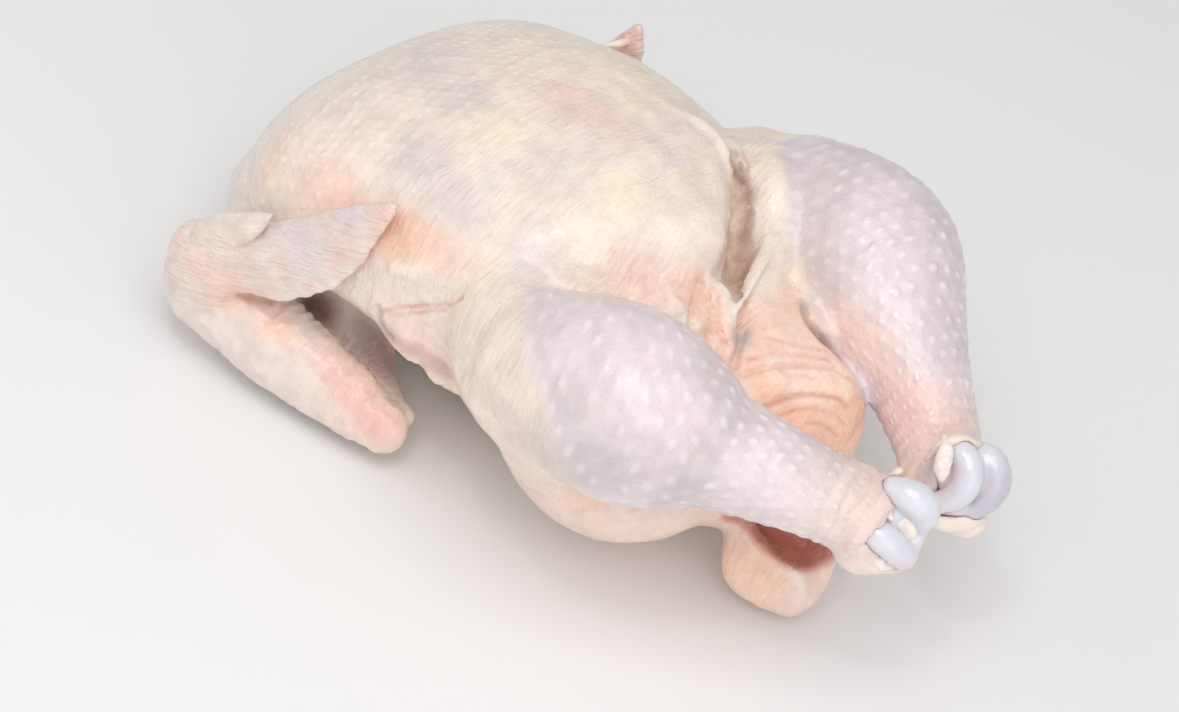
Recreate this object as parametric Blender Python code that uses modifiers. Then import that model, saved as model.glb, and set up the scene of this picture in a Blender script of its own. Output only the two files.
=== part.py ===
"""Whole raw chicken lying on its back, breast up, feet and neck removed.

The skin-covered bird is one solid and the bare joint end of each leg bone is another.
Frame: +X runs from the neck end to the tail, +Y is the bird's left side, +Z is up, and
the origin is under the middle of the bounding box. Named sizes are millimetres.
"""
import bmesh
import bpy
from math import cos, pi, radians, sin
from mathutils import Euler, Matrix, Vector

MM = 0.001
RIGHT, LEFT = -1, 1
SIDE_NAMES = {RIGHT: "right", LEFT: "left"}

# Sections of the trunk, from the neck end to the tail end:
# place along X, half width, lowest Z, Z of the widest point, highest Z.
BACK_SECTIONS = (
    (-116, 3, 26, 34, 40), (-110, 22, 16, 34, 50), (-92, 36, 6, 42, 68), (-62, 43, 1, 46, 90),
    (-30, 42, 1, 46, 95), (0, 40, 1, 46, 95), (25, 37, 3, 44, 86), (45, 33, 10, 42, 72),
    (60, 26, 20, 40, 60), (72, 14, 28, 40, 48))
BREAST_SECTIONS = (
    (-118, 3, 30, 36, 42), (-113, 22, 20, 36, 50), (-99, 38, 20, 45, 66), (-80, 56, 22, 53, 88),
    (-57, 62, 28, 56, 101), (-30, 63, 34, 58, 109), (-5, 58, 40, 60, 110), (12, 48, 48, 62, 106),
    (22, 36, 56, 66, 99), (28, 22, 64, 73, 90), (32, 4, 74, 78, 84))
RING_POINTS = 40
SECTION_SQUARENESS = 2.2

# Limbs are tubes through points, each point with its radius.
RUMP = ((36, 0, 52, 28), (52, 2, 52, 28), (66, 2, 42, 20), (75, 1, 26, 12), (80, -1, 12, 9))
TAIL_TIP = ((80, -2, 14), (12, 13, 8), 55)
NECK_SKIN_RIM = (
    (-99, -33, 18, 6), (-107, -26, 26, 6), (-112, -12, 33, 5), (-113, 0, 36, 5),
    (-111, 13, 33, 5), (-105, 26, 26, 5), (-97, 32, 18, 5))
LEGS = {
    RIGHT: {
        "thigh": ((48, -30, 42, 19), (34, -44, 50, 20), (26, -55, 69, 17)),
        "drumstick": ((24, -55, 77, 20), (46, -55, 83, 25.5), (57, -49, 81, 22.5),
                      (68, -43, 79, 16.5), (92, -30, 76, 12), (104, -19, 71, 11.5)),
        "ankle_rim": ((109, -19, 62), (8, 8, 7)),
        "flank": ((27, -33, 38), (32, 22, 23), -12),
        "joint_end": ((112, -16, 79), (110, -20, 67)),
    },
    LEFT: {
        "thigh": ((48, 28, 42, 19), (33, 42, 50, 20), (24, 52, 71, 17)),
        "drumstick": ((22, 52, 79, 20), (44, 50, 80, 25.5), (58, 44, 76, 22.5),
                      (73, 38, 73, 16.5), (94, 28, 65, 12), (106, 20, 61, 11.5)),
        "ankle_rim": ((113, 19, 56), (9, 7, 6)),
        "flank": ((27, 33, 38), (32, 22, 23), 12),
        "joint_end": ((112, 16, 67), (118, 21, 69)),
    },
}
WINGS = {
    RIGHT: {"shoulder": (-62, -40, 32), "elbow": (-24, -57, 19), "wrist": (-85, -66, 25),
            "tip": (-37, -57, 87)},
    LEFT: {"shoulder": (-62, 40, 32), "elbow": (-24, 57, 19), "wrist": (-88, 66, 26),
           "tip": (-50, 58, 91)},
}
UPPER_ARM_RADII = (15, 12, 9)
FOREARM_RADII = (10.5, 14.5, 12.5)
HAND_RADII = (12, 12, 8.5, 2)
THUMB_RADII = (9, 7, 1.5)
FOREARM_FLATNESS = 0.7
HAND_FLATNESS = 0.45
THUMB_FLATNESS = 0.6
TUBE_STEPS = 6
TUBE_SIDES = 24

CONDYLE_RADII = (8, 6, 6)
BONE_RADIUS = 5
BONE_LENGTH = 16
JOINT_CLEARANCE = 0.6

VOXEL = 2.4
SMOOTHING_STEPS = 6
SKIN_TRIANGLES = 6600
BONE_TRIANGLES = 400
RESTING_CUT = 2.6

SKIN = ("skin", (0.80, 0.62, 0.52), 0.42)
CARTILAGE = ("cartilage", (0.72, 0.74, 0.80), 0.25)


def collection(name):
    """Makes a collection under the scene's own."""
    made = bpy.data.collections.new(name)
    bpy.context.scene.collection.children.link(made)
    return made


def material(name, colour, roughness):
    """A Principled material of one colour."""
    made = bpy.data.materials.new(name)
    made.use_nodes = True
    shader = made.node_tree.nodes["Principled BSDF"]
    shader.inputs["Base Color"].default_value = (*colour, 1)
    shader.inputs["Roughness"].default_value = roughness
    return made


def mesh_object(name, bm, home):
    """Turns a bmesh in millimetres into an object in metres."""
    bm.transform(Matrix.Scale(MM, 4))
    mesh = bpy.data.meshes.new(name)
    bm.to_mesh(mesh)
    bm.free()
    made = bpy.data.objects.new(name, mesh)
    home.objects.link(made)
    return made


def section_ring(section, count=RING_POINTS):
    """Points of one rounded trunk section, a squarish oval with unlike upper and lower halves."""
    x, half_width, low, middle, high = section
    power = 2 / SECTION_SQUARENESS
    ring = []
    for step in range(count):
        turn = 2 * pi * step / count
        across = abs(cos(turn)) ** power * (1 if cos(turn) >= 0 else -1)
        upward = abs(sin(turn)) ** power * (1 if sin(turn) >= 0 else -1)
        reach = high - middle if upward >= 0 else middle - low
        ring.append(Vector((x, half_width * across, middle + reach * upward)))
    return ring


def smooth_path(points, steps=TUBE_STEPS):
    """A Catmull-Rom path through points of any length of row."""
    rows = [Vector(p) for p in points]
    rows = [2 * rows[0] - rows[1], *rows, 2 * rows[-1] - rows[-2]]
    path = []
    for before, start, end, after in zip(rows, rows[1:], rows[2:], rows[3:]):
        for step in range(steps):
            t = step / steps
            path.append(0.5 * (2 * start + (end - before) * t
                               + (2 * before - 5 * start + 4 * end - after) * t ** 2
                               + (3 * start - before - 3 * end + after) * t ** 3))
    path.append(rows[-2])
    return path


def add_loft(bm, rings):
    """Joins rings of points into a closed shell."""
    rows = [[bm.verts.new(point) for point in ring] for ring in rings]
    for row, following in zip(rows, rows[1:]):
        for i, corner in enumerate(row):
            j = (i + 1) % len(row)
            bm.faces.new((corner, row[j], following[j], following[i]))
    bm.faces.new(reversed(rows[0]))
    bm.faces.new(rows[-1])


def add_trunk(bm, sections):
    """A closed shell through the trunk sections, with extra sections eased in between."""
    eased = [tuple(row) for row in smooth_path(sections, steps=3)]
    add_loft(bm, [section_ring(section) for section in eased])


def add_ball(bm, centre, radii, yaw=0, pitch=0):
    """An ellipsoid, turned about Y by its pitch and then about Z by its yaw."""
    place = (Matrix.Translation(centre)
             @ Euler((0, radians(pitch), radians(yaw))).to_matrix().to_4x4()
             @ Matrix.Diagonal((*radii, 1)))
    bmesh.ops.create_uvsphere(bm, u_segments=TUBE_SIDES, v_segments=TUBE_SIDES // 2, radius=1,
                              matrix=place)


def add_tube(bm, points, flat_along=None, flatness=1.0):
    """A round tube through points (x, y, z, radius) with domed ends, flattened if asked."""
    tube = bmesh.new()
    path = smooth_path(points)
    places = [Vector(row[:3]) for row in path]
    for i, (place, row) in enumerate(zip(places, path)):
        ahead = places[min(i + 1, len(places) - 1)] - places[max(i - 1, 0)]
        turn = ahead.to_track_quat("Z", "Y").to_matrix().to_4x4()
        bmesh.ops.create_uvsphere(tube, u_segments=TUBE_SIDES, v_segments=TUBE_SIDES // 2,
                                  radius=row[3], matrix=Matrix.Translation(place) @ turn)
        if i + 1 < len(path):
            middle = (place + places[i + 1]) / 2
            run = places[i + 1] - place
            turn = run.to_track_quat("Z", "Y").to_matrix().to_4x4()
            bmesh.ops.create_cone(tube, cap_ends=True, segments=TUBE_SIDES, radius1=row[3],
                                  radius2=path[i + 1][3], depth=run.length,
                                  matrix=Matrix.Translation(middle) @ turn)
    if flat_along is not None:
        centre = sum(places, Vector()) / len(places)
        squeeze = Matrix.Scale(flatness, 4, Vector(flat_along).normalized())
        tube.transform(Matrix.Translation(centre) @ squeeze @ Matrix.Translation(-centre))
    joined = bpy.data.meshes.new("tube")
    tube.to_mesh(joined)
    tube.free()
    bm.from_mesh(joined)
    bpy.data.meshes.remove(joined)


def with_radii(places, radii):
    """Rows of x, y, z and radius."""
    return [(*place, radius) for place, radius in zip(places, radii)]


def add_wing(bm, side, wing):
    """A folded wing: upper arm back to the elbow, forearm forward to the wrist, hand up and back."""
    shoulder, elbow, wrist, tip = (Vector(wing[k]) for k in ("shoulder", "elbow", "wrist", "tip"))
    blade_normal = (0.2, 0.8 * side, 0.5)
    add_tube(bm, with_radii((shoulder, (shoulder + elbow) / 2, elbow), UPPER_ARM_RADII))
    add_tube(bm, with_radii((elbow, (elbow + wrist) / 2, wrist), FOREARM_RADII),
             blade_normal, FOREARM_FLATNESS)
    knuckle = wrist + Vector((1, 0, 3))
    hand = (knuckle, knuckle.lerp(tip, 0.45), knuckle.lerp(tip, 0.75), tip)
    add_tube(bm, with_radii(hand, HAND_RADII), blade_normal, HAND_FLATNESS)
    thumb = (wrist + Vector((2, 0, 8)), wrist + Vector((12, 0, 22)), wrist + Vector((26, -side, 32)))
    add_tube(bm, with_radii(thumb, THUMB_RADII), blade_normal, THUMB_FLATNESS)


def add_leg(bm, leg):
    """Thigh along the flank, drumstick back to the ankle, and the skin's rim under the joint."""
    add_tube(bm, leg["thigh"])
    add_tube(bm, leg["drumstick"])
    centre, radii, yaw = leg["flank"]
    add_ball(bm, centre, radii, yaw)
    add_ball(bm, *leg["ankle_rim"])


def decimate(obj, triangles):
    """Thins an object's evaluated mesh to about a number of triangles."""
    evaluated = obj.evaluated_get(bpy.context.evaluated_depsgraph_get())
    present = sum(len(face.vertices) - 2 for face in evaluated.data.polygons)
    thin = obj.modifiers.new("thin", "DECIMATE")
    thin.ratio = min(1, triangles / present)


def soften(obj, voxel, steps):
    """Fuses overlapping shells into one skin and rounds the creases between them."""
    fuse = obj.modifiers.new("fuse", "REMESH")
    fuse.mode = "VOXEL"
    fuse.voxel_size = voxel * MM
    ease = obj.modifiers.new("ease", "SMOOTH")
    ease.factor = 0.5
    ease.iterations = steps


def cut_with(obj, cutter):
    """Cuts one object with another and hides the cutter."""
    cut = obj.modifiers.new("cut_" + cutter.name, "BOOLEAN")
    cut.object = cutter
    cutter.hide_render = True
    cutter.display_type = "WIRE"


def joint_end(name, leg, swell, home):
    """The bare end of a leg bone: two rounded knuckles on a short stub of the shaft."""
    bm = bmesh.new()
    knuckles = [Vector(place) for place in leg["joint_end"]]
    for place in knuckles:
        add_ball(bm, place, [radius + swell for radius in CONDYLE_RADII])
    outer = (knuckles[0] + knuckles[1]) / 2
    inward = (Vector(leg["drumstick"][-2][:3]) - outer).normalized()
    add_tube(bm, with_radii((outer, outer + inward * BONE_LENGTH), (BONE_RADIUS + swell,) * 2))
    made = mesh_object(name, bm, home)
    soften(made, 0.9, 4)
    return made


def resting_cutter(home):
    """A slab whose top is the table, a little above the back's lowest point."""
    bm = bmesh.new()
    bmesh.ops.create_cube(bm, size=1, matrix=Matrix.Translation((0, 0, RESTING_CUT - 50))
                          @ Matrix.Diagonal((400, 300, 100, 1)))
    return mesh_object("table_cutter", bm, home)


def build_skin(home):
    """The whole skin-covered bird as one fused form."""
    bm = bmesh.new()
    add_trunk(bm, BACK_SECTIONS)
    add_trunk(bm, BREAST_SECTIONS)
    add_tube(bm, RUMP)
    add_ball(bm, TAIL_TIP[0], TAIL_TIP[1], pitch=TAIL_TIP[2])
    add_tube(bm, NECK_SKIN_RIM)
    for side in (RIGHT, LEFT):
        add_leg(bm, LEGS[side])
        add_wing(bm, side, WINGS[side])
    made = mesh_object("bird", bm, home)
    soften(made, VOXEL, SMOOTHING_STEPS)
    return made


def stand_on_origin(parts, cutters):
    """Moves everything so that the origin is under the middle of the bounding box."""
    graph = bpy.context.evaluated_depsgraph_get()
    corners = [vertex.co for part in parts for vertex in part.evaluated_get(graph).data.vertices]
    low = Vector([min(c[i] for c in corners) for i in range(3)])
    high = Vector([max(c[i] for c in corners) for i in range(3)])
    anchor = bpy.data.objects.new("chicken", None)
    bpy.context.scene.collection.objects.link(anchor)
    for obj in (*parts, *cutters):
        obj.parent = anchor
    anchor.location = (-(low.x + high.x) / 2, -(low.y + high.y) / 2, -low.z)


def main():
    """Builds the bird and its two bare joint ends."""
    for obj in list(bpy.data.objects):
        bpy.data.objects.remove(obj)
    home = collection("chicken")
    tools = collection("cutters")
    bird = build_skin(home)
    decimate(bird, SKIN_TRIANGLES)
    cutters = [resting_cutter(tools)]
    parts = [bird]
    for side in (RIGHT, LEFT):
        end = joint_end("hock_" + SIDE_NAMES[side], LEGS[side], 0, home)
        decimate(end, BONE_TRIANGLES)
        end.data.materials.append(material(*CARTILAGE))
        parts.append(end)
        socket = joint_end("socket_" + SIDE_NAMES[side], LEGS[side], JOINT_CLEARANCE, tools)
        decimate(socket, BONE_TRIANGLES)
        cutters.append(socket)
    for cutter in cutters:
        cut_with(bird, cutter)
    bird.data.materials.append(material(*SKIN))
    for part in parts:
        part.data.shade_smooth()
    stand_on_origin(parts, cutters)


main()
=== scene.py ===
"""Looks of a whole raw chicken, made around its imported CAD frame.

The bird is modelled as a distance field: its trunk, limbs and folds are simple solids
whose distances are blended, so skin runs smoothly from one to the next. The field becomes
one skin mesh, fine relief is pushed in along its normals, and colours are painted on it
by the same body coordinates. Lengths are millimetres in the bird's own coordinates, which
FRAME_SHIFT moves into the CAD frame: +X towards the tail, +Y the bird's left, +Z up.
"""
from math import cos, radians, sin

import bpy
import numpy as np
import openvdb
from mathutils import Matrix, Vector


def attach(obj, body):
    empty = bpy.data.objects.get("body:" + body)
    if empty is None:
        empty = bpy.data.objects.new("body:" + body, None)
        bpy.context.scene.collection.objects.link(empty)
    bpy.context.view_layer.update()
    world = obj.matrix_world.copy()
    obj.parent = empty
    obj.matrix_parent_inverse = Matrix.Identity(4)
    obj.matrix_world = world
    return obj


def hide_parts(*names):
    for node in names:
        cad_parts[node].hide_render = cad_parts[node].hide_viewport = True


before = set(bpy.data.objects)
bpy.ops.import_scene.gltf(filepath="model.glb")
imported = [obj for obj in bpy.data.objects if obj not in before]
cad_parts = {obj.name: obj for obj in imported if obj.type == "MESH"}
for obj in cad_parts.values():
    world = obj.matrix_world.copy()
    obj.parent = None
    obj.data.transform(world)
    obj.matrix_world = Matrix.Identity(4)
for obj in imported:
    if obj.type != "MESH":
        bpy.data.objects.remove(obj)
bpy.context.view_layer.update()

MM = 0.001
RIGHT, LEFT = -1, 1
FRAME_SHIFT = np.array((-3.9, 0.0, -2.6))
TABLE_LEVEL = 2.6
SKIN_VOXEL = 0.75
SKIN_TRIANGLES = 196000
JOINT_VOXEL = 0.4
JOINT_TRIANGLES = 24000

# ---------------------------------------------------------------- sizes of the bird

# Trunk sections: place along X, half width, lowest Z, Z of the widest point, highest Z.
BACK_SECTIONS = (
    (-116, 3, 26, 34, 40), (-110, 22, 16, 34, 50), (-92, 36, 6, 42, 68), (-62, 43, 1, 46, 90),
    (-30, 42, 1, 46, 95), (0, 40, 1, 46, 95), (25, 37, 3, 44, 86), (45, 33, 10, 42, 72),
    (60, 26, 20, 40, 60), (72, 14, 28, 40, 48))
BREAST_SECTIONS = (
    (-117.5, 3, 30, 36, 42), (-112.5, 24, 20, 36, 51), (-98, 42.5, 20, 46, 71.5),
    (-80, 58, 22, 53.5, 88.4), (-57, 62, 28, 56, 99.6), (-30, 62, 34, 58, 108),
    (-5, 58, 40, 60, 108), (12, 48.5, 48, 62, 104.8),
    (22, 36, 56, 66, 98), (28, 22, 64, 73, 90), (32, 4, 74, 78, 84))
LEFT_BREAST_SHARE = 0.90

# Tubes: x, y, z, radius at each point.
RUMP = ((36, 0, 52, 28), (52, 2, 52, 28), (66, 2, 42, 20), (75, 1, 26, 12), (80, 1, 14, 9))
NECK_SKIN_RIM = (
    (-100, -34.5, 18, 6.5), (-108, -27.5, 26, 7), (-110.6, -12, 33, 5), (-111.5, 0, 36, 5),
    (-109.6, 13, 33, 5), (-104, 24, 27, 5), (-95, 28, 21, 5))
LEGS = {
    RIGHT: {
        "thigh": ((48, -30, 44, 18), (34, -44, 51, 20), (26, -55, 69, 17)),
        "drumstick": ((24, -55, 77, 20), (46, -55, 83, 25.5), (57, -49, 81, 22.5),
                      (68, -43, 79, 16.5), (92, -30, 76, 12), (104, -19, 71, 11.5)),
        "ankle_rim": ((109, -19, 62), (8, 8, 7)),
        "flank": ((27.5, -32.5, 39.5), (31.5, 21.5, 22.5), -12),
    },
    LEFT: {
        "thigh": ((48, 28, 42, 19), (33, 42, 50, 20), (24, 52, 71, 17)),
        "drumstick": ((22, 52, 79, 20), (44, 50, 80, 25.5), (58, 44, 76, 22.5),
                      (73, 38, 73, 16.5), (94, 28, 65, 12), (106, 20, 61, 11.5)),
        "ankle_rim": ((113, 19, 56), (9, 7, 6)),
        "flank": ((27, 33, 38), (32, 22, 23), 12),
    },
}
WINGS = {
    RIGHT: {"upper_arm": ((-62, -38, 26, 13), (-49, -42, 18, 10), (-31, -48, 16, 5),
                          (-20, -50, 17.5, 2.5)),
            "forearm": ((-22, -57, 15.8, 7.2), (-41, -59.5, 18, 10.5), (-60, -63, 20.5, 12.5),
                        (-85, -67.5, 26, 13)),
            "wrist": (-83.5, -71, 35), "tip": (-35, -59, 88.5), "blade_low": (-42, -67, 57)},
    LEFT: {"upper_arm": ((-62, 38, 26, 13), (-49, 42, 18, 10), (-31, 48, 16, 5),
                         (-20, 50, 17.5, 2.5)),
           "forearm": ((-22, 57, 13.5, 8.5), (-41, 59.5, 18, 11), (-60, 63, 20.5, 12.5),
                       (-86, 67, 26, 12.5)),
           "wrist": (-78, 66, 26), "tip": (-52, 57, 88.5), "blade_low": (-52, 62, 40)},
}
# Outlines in a hand's plane: distance from the wrist towards the tip, and across, front edge first.
HAND_LENGTH = 73
HAND_OUTLINE = (
    (-6, 9), (5, 11), (18, 8.5), (30, 6), (44, 5), (59, 4), (74, 1.5), (75.5, 0), (73, -2.5),
    (68.5, -5.5), (62.5, -8.5), (57.5, -12), (45, -16), (34, -16), (24, -15), (9, -8), (-4, -6))
THUMB_OUTLINE = (
    (1, 8), (3, 11.5), (8, 13), (16, 13), (24, 11), (31, 9.5), (35.5, 8), (31.5, 5.5), (28.5, 4),
    (24.5, 2.8), (18, 2.2), (9, 3.5), (3, 5))
THUMB_LIFT = 4.5
# The hand's bony front: share of its length, distance in front of the middle line, radius.
HAND_BONE = ((-0.02, 1.5, 12.4), (0.2, -1.5, 8), (0.4, -1, 6.5), (0.7, 0, 4.2), (0.99, 0, 1.2))

# The joint ends, as tubes along their condyles (each curved like a runner) and the bridge below.
HOCKS = {
    RIGHT: {
        "condyles": (((108.9, -14.6, 80.7, 3.4), (112.8, -13.4, 81, 4.4), (116, -11.6, 79.4, 4.6),
                      (117.6, -10.4, 76.6, 3.8)),
                     ((109.2, -22.2, 71.6, 3.2), (112.6, -21.8, 71.4, 4.0), (116.6, -19.6, 69.2, 4.1),
                      (119, -16.4, 65.4, 3.7))),
        "bridge": ((118.2, -11, 75.6, 2.8), (118.2, -11.4, 71, 2.4), (118.4, -13.6, 67, 2.8)),
        "core": ((110, -12.5, 72.5), (6, 6, 7)), "cup": ((117, -17.5, 75), 5)},
    LEFT: {
        "condyles": (((106.4, 14.2, 76.4, 2.4), (110, 14.6, 77.6, 3.4), (113.6, 13.8, 75.4, 4.0),
                      (115.2, 12.2, 71, 4.1), (113.6, 10.2, 66.2, 3.5), (110.6, 8, 63.2, 2.6)),
                     ((110.6, 21, 74.6, 3.4), (115, 21.6, 74.4, 4.5), (118.2, 21.2, 71.2, 4.9),
                      (118.8, 19.4, 66.4, 4.6), (117.6, 17.6, 62.6, 3.6))),
        "bridge": ((117.5, 18.5, 63, 3.2), (114.6, 14.5, 62.4, 3.4), (111.6, 10.5, 62, 2.8)),
        "core": ((110.5, 17.5, 68.5), (6, 7, 8)), "cup": ((114.5, 9, 71), 4)},
}
# Rolled skin edges about the joint ends, as tubes joined to the skin.
SKIN_EDGES = {
    RIGHT: (((107, -11.5, 84, 1.2), (106.6, -15.4, 80.5, 1.4), (107.6, -17.8, 77, 1.5),
             (107.6, -20.4, 74.8, 1.7), (105.8, -22.8, 72.6, 1.5), (106, -24.6, 69, 1.5),
             (108.4, -24.8, 66, 1.6), (111.6, -23.8, 63.6, 1.8), (115.8, -21, 61.4, 1.7),
             (118.8, -16.6, 60.4, 1.3)),),
    LEFT: (((103.5, 9.5, 73, 1.0), (105.2, 10.6, 79, 1.4), (107.6, 15, 80.6, 1.6),
            (110.2, 18.8, 79, 1.4), (111.8, 22.4, 77.4, 1.0)),
           ((109, 7.6, 58.6, 2.4), (113.4, 10.8, 58, 3.4), (117, 14.4, 58.8, 3.6),
            (118.6, 17, 60, 2.6))),
}
# Torn tendons about the joint ends, as tubes flattened towards the skin they lie on.
TISSUE = {
    RIGHT: (((109.1, -16.6, 80.8, 0.6), (109.4, -18, 78.7, 1.3), (110.8, -18.4, 76.9, 1.3),
             (112.8, -18.2, 75.2, 0.8)),
            ((111, -15.2, 76, 1.4), (114.2, -14.2, 74, 3.2), (116.4, -13.6, 71.8, 3.0),
             (117, -14, 70, 1.4)),
            ((110, -23.6, 67.4, 1.0), (113.2, -23.3, 65.6, 1.5), (116.2, -21.6, 64, 1.4),
             (118.6, -18.8, 62.4, 0.8)),
            ((116.3, -22, 65.2, 0.6), (117, -22, 63.6, 0.7), (117.8, -21.4, 61.8, 0.7)),
            ((116.5, -9.5, 69.6, 1.4), (117.3, -9.3, 67, 2.2), (117, -11, 64, 1.4))),
    LEFT: (((105, 12, 80.4, 1.2), (107.4, 9.6, 79.2, 2.0), (109.2, 7.6, 76.6, 2.4),
            (110.6, 6.9, 73.4, 1.2)),
           ((106.5, 15.5, 79.4, 0.8), (109, 17.4, 78.8, 1.3), (111.8, 17.8, 76.6, 1.2),
            (114.6, 17.2, 73, 0.8))),
}
TISSUE_FACING = (0.39, -0.63, 0.67)


# ---------------------------------------------------------------- distance field

class Field:
    """Distances to a growing solid, sampled on a grid; negative inside."""

    def __init__(self, low, high, voxel):
        self.low = np.array(low, float)
        self.voxel = voxel
        self.count = np.ceil((np.array(high) - self.low) / voxel).astype(int) + 1
        self.axes = [(self.low[i] + voxel * np.arange(self.count[i])).astype(np.float32)
                     for i in range(3)]
        self.values = np.full(self.count, 60.0, np.float32)

    def block(self, low, high):
        """The part of the grid in a box, and its coordinates."""
        first = np.clip(np.floor((low - self.low) / self.voxel), 0, self.count - 1).astype(int)
        last = np.clip(np.ceil((high - self.low) / self.voxel) + 1, 1, self.count).astype(int)
        part = tuple(slice(a, b) for a, b in zip(first, last))
        grid = np.meshgrid(*[self.axes[i][part[i]] for i in range(3)], indexing="ij", sparse=True)
        return part, grid

    def _join(self, shape, soft, mix):
        distance, low, high = shape
        reach = soft + 4 * self.voxel + 2
        part, grid = self.block(np.array(low) - reach, np.array(high) + reach)
        self.values[part] = mix(self.values[part], distance(*grid), soft)

    def add(self, shape, soft):
        """Joins a shape on with a fillet."""
        self._join(shape, soft, lambda old, new, k: smooth_min(old, new, k))

    def cut(self, shape, soft):
        """Cuts a shape away with a rounded edge."""
        self._join(shape, soft, lambda old, new, k: -smooth_min(-old, new, k))

    def flatten_below(self, level, soft):
        """Presses the solid flat at a level, as its weight does on a table."""
        height = level - self.axes[2][None, None, :]
        self.values = -smooth_min(-self.values, -height, soft)

    def gradient(self, points):
        """Unit vectors straight out of the solid at points near its skin."""
        steps = np.eye(3) * self.voxel
        slope = np.stack([self.sample(points + s) - self.sample(points - s) for s in steps], 1)
        return slope / np.maximum(np.linalg.norm(slope, axis=1, keepdims=True), 1e-9)

    def sample(self, points):
        """Distances at points, read between the grid's samples."""
        place = np.clip((points - self.low) / self.voxel, 0, self.count - 1.001)
        corner = place.astype(int)
        share = place - corner
        total = 0
        for step in np.ndindex(2, 2, 2):
            weight = np.prod([share[:, i] if step[i] else 1 - share[:, i] for i in range(3)], 0)
            total = total + weight * self.values[tuple(corner[:, i] + step[i] for i in range(3))]
        return total

    def surface(self):
        """Points and four-sided faces of the solid's skin."""
        grid = openvdb.FloatGrid(20.0)
        grid.copyFromArray(np.ascontiguousarray(self.values, np.float32))
        points, quads = grid.convertToQuads(0.0)
        return points * self.voxel + self.low, quads


def smooth_min(a, b, soft):
    """The lesser of two distances, with a fillet where they are nearly equal."""
    share = np.clip(0.5 + 0.5 * (b - a) / soft, 0, 1)
    return b * (1 - share) + a * share - soft * share * (1 - share)


def smooth_path(points, steps=5):
    """A Catmull-Rom path through rows of numbers."""
    rows = np.array(points, float)
    rows = np.vstack([2 * rows[0] - rows[1], rows, 2 * rows[-1] - rows[-2]])
    path = []
    for before, start, end, after in zip(rows, rows[1:], rows[2:], rows[3:]):
        for t in np.arange(steps) / steps:
            path.append(0.5 * (2 * start + (end - before) * t
                               + (2 * before - 5 * start + 4 * end - after) * t ** 2
                               + (3 * start - before - 3 * end + after) * t ** 3))
    path.append(rows[-2])
    return np.array(path)


def tube(points, flat_along=None, flatness=1.0, steps=5):
    """A tube through points (x, y, z, radius), squeezed along a direction if one is given."""
    path = smooth_path(points, steps)
    centre = path[:, :3].mean(0)
    squeeze = np.zeros(3) if flat_along is None else np.array(flat_along, float)
    squeeze = squeeze / max(np.linalg.norm(squeeze), 1e-9)
    stretch = 1 / flatness - 1

    def warp(x, y, z):
        away = ((x - centre[0]) * squeeze[0] + (y - centre[1]) * squeeze[1]
                + (z - centre[2]) * squeeze[2]) * stretch
        return x + away * squeeze[0], y + away * squeeze[1], z + away * squeeze[2]

    nodes = np.array([np.array(warp(*row[:3])) for row in path])
    radii = path[:, 3]

    def distance(x, y, z):
        x, y, z = warp(x, y, z)
        nearest = None
        for a, b, ra, rb in zip(nodes[:-1], nodes[1:], radii[:-1], radii[1:]):
            run = b - a
            share = ((x - a[0]) * run[0] + (y - a[1]) * run[1] + (z - a[2]) * run[2]) / (run @ run)
            share = np.clip(share, 0, 1)
            gap = np.sqrt((x - a[0] - share * run[0]) ** 2 + (y - a[1] - share * run[1]) ** 2
                          + (z - a[2] - share * run[2]) ** 2) - (ra + (rb - ra) * share)
            nearest = gap if nearest is None else np.minimum(nearest, gap)
        return nearest * flatness ** 0.5

    return distance, path[:, :3].min(0) - radii.max(), path[:, :3].max(0) + radii.max()


def turned(yaw, pitch, roll):
    """A turning matrix: roll about X, then pitch about Y, then yaw about Z."""
    return np.array(Matrix.Rotation(radians(yaw), 3, "Z") @ Matrix.Rotation(radians(pitch), 3, "Y")
                    @ Matrix.Rotation(radians(roll), 3, "X"))


def ball(centre, radii, yaw=0, pitch=0, roll=0):
    """An ellipsoid."""
    centre, radii = np.array(centre, float), np.array(radii, float)
    turn = turned(yaw, pitch, roll)

    def distance(x, y, z):
        away = (x - centre[0], y - centre[1], z - centre[2])
        u, v, w = (sum(away[i] * turn[i, j] for i in range(3)) for j in range(3))
        near = np.sqrt((u / radii[0]) ** 2 + (v / radii[1]) ** 2 + (w / radii[2]) ** 2) + 1e-6
        slope = np.sqrt((u / radii[0] ** 2) ** 2 + (v / radii[1] ** 2) ** 2
                        + (w / radii[2] ** 2) ** 2) + 1e-9
        return near * (near - 1) / slope

    reach = np.sqrt((turn ** 2) @ (radii ** 2))
    return distance, centre - reach, centre + reach


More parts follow.
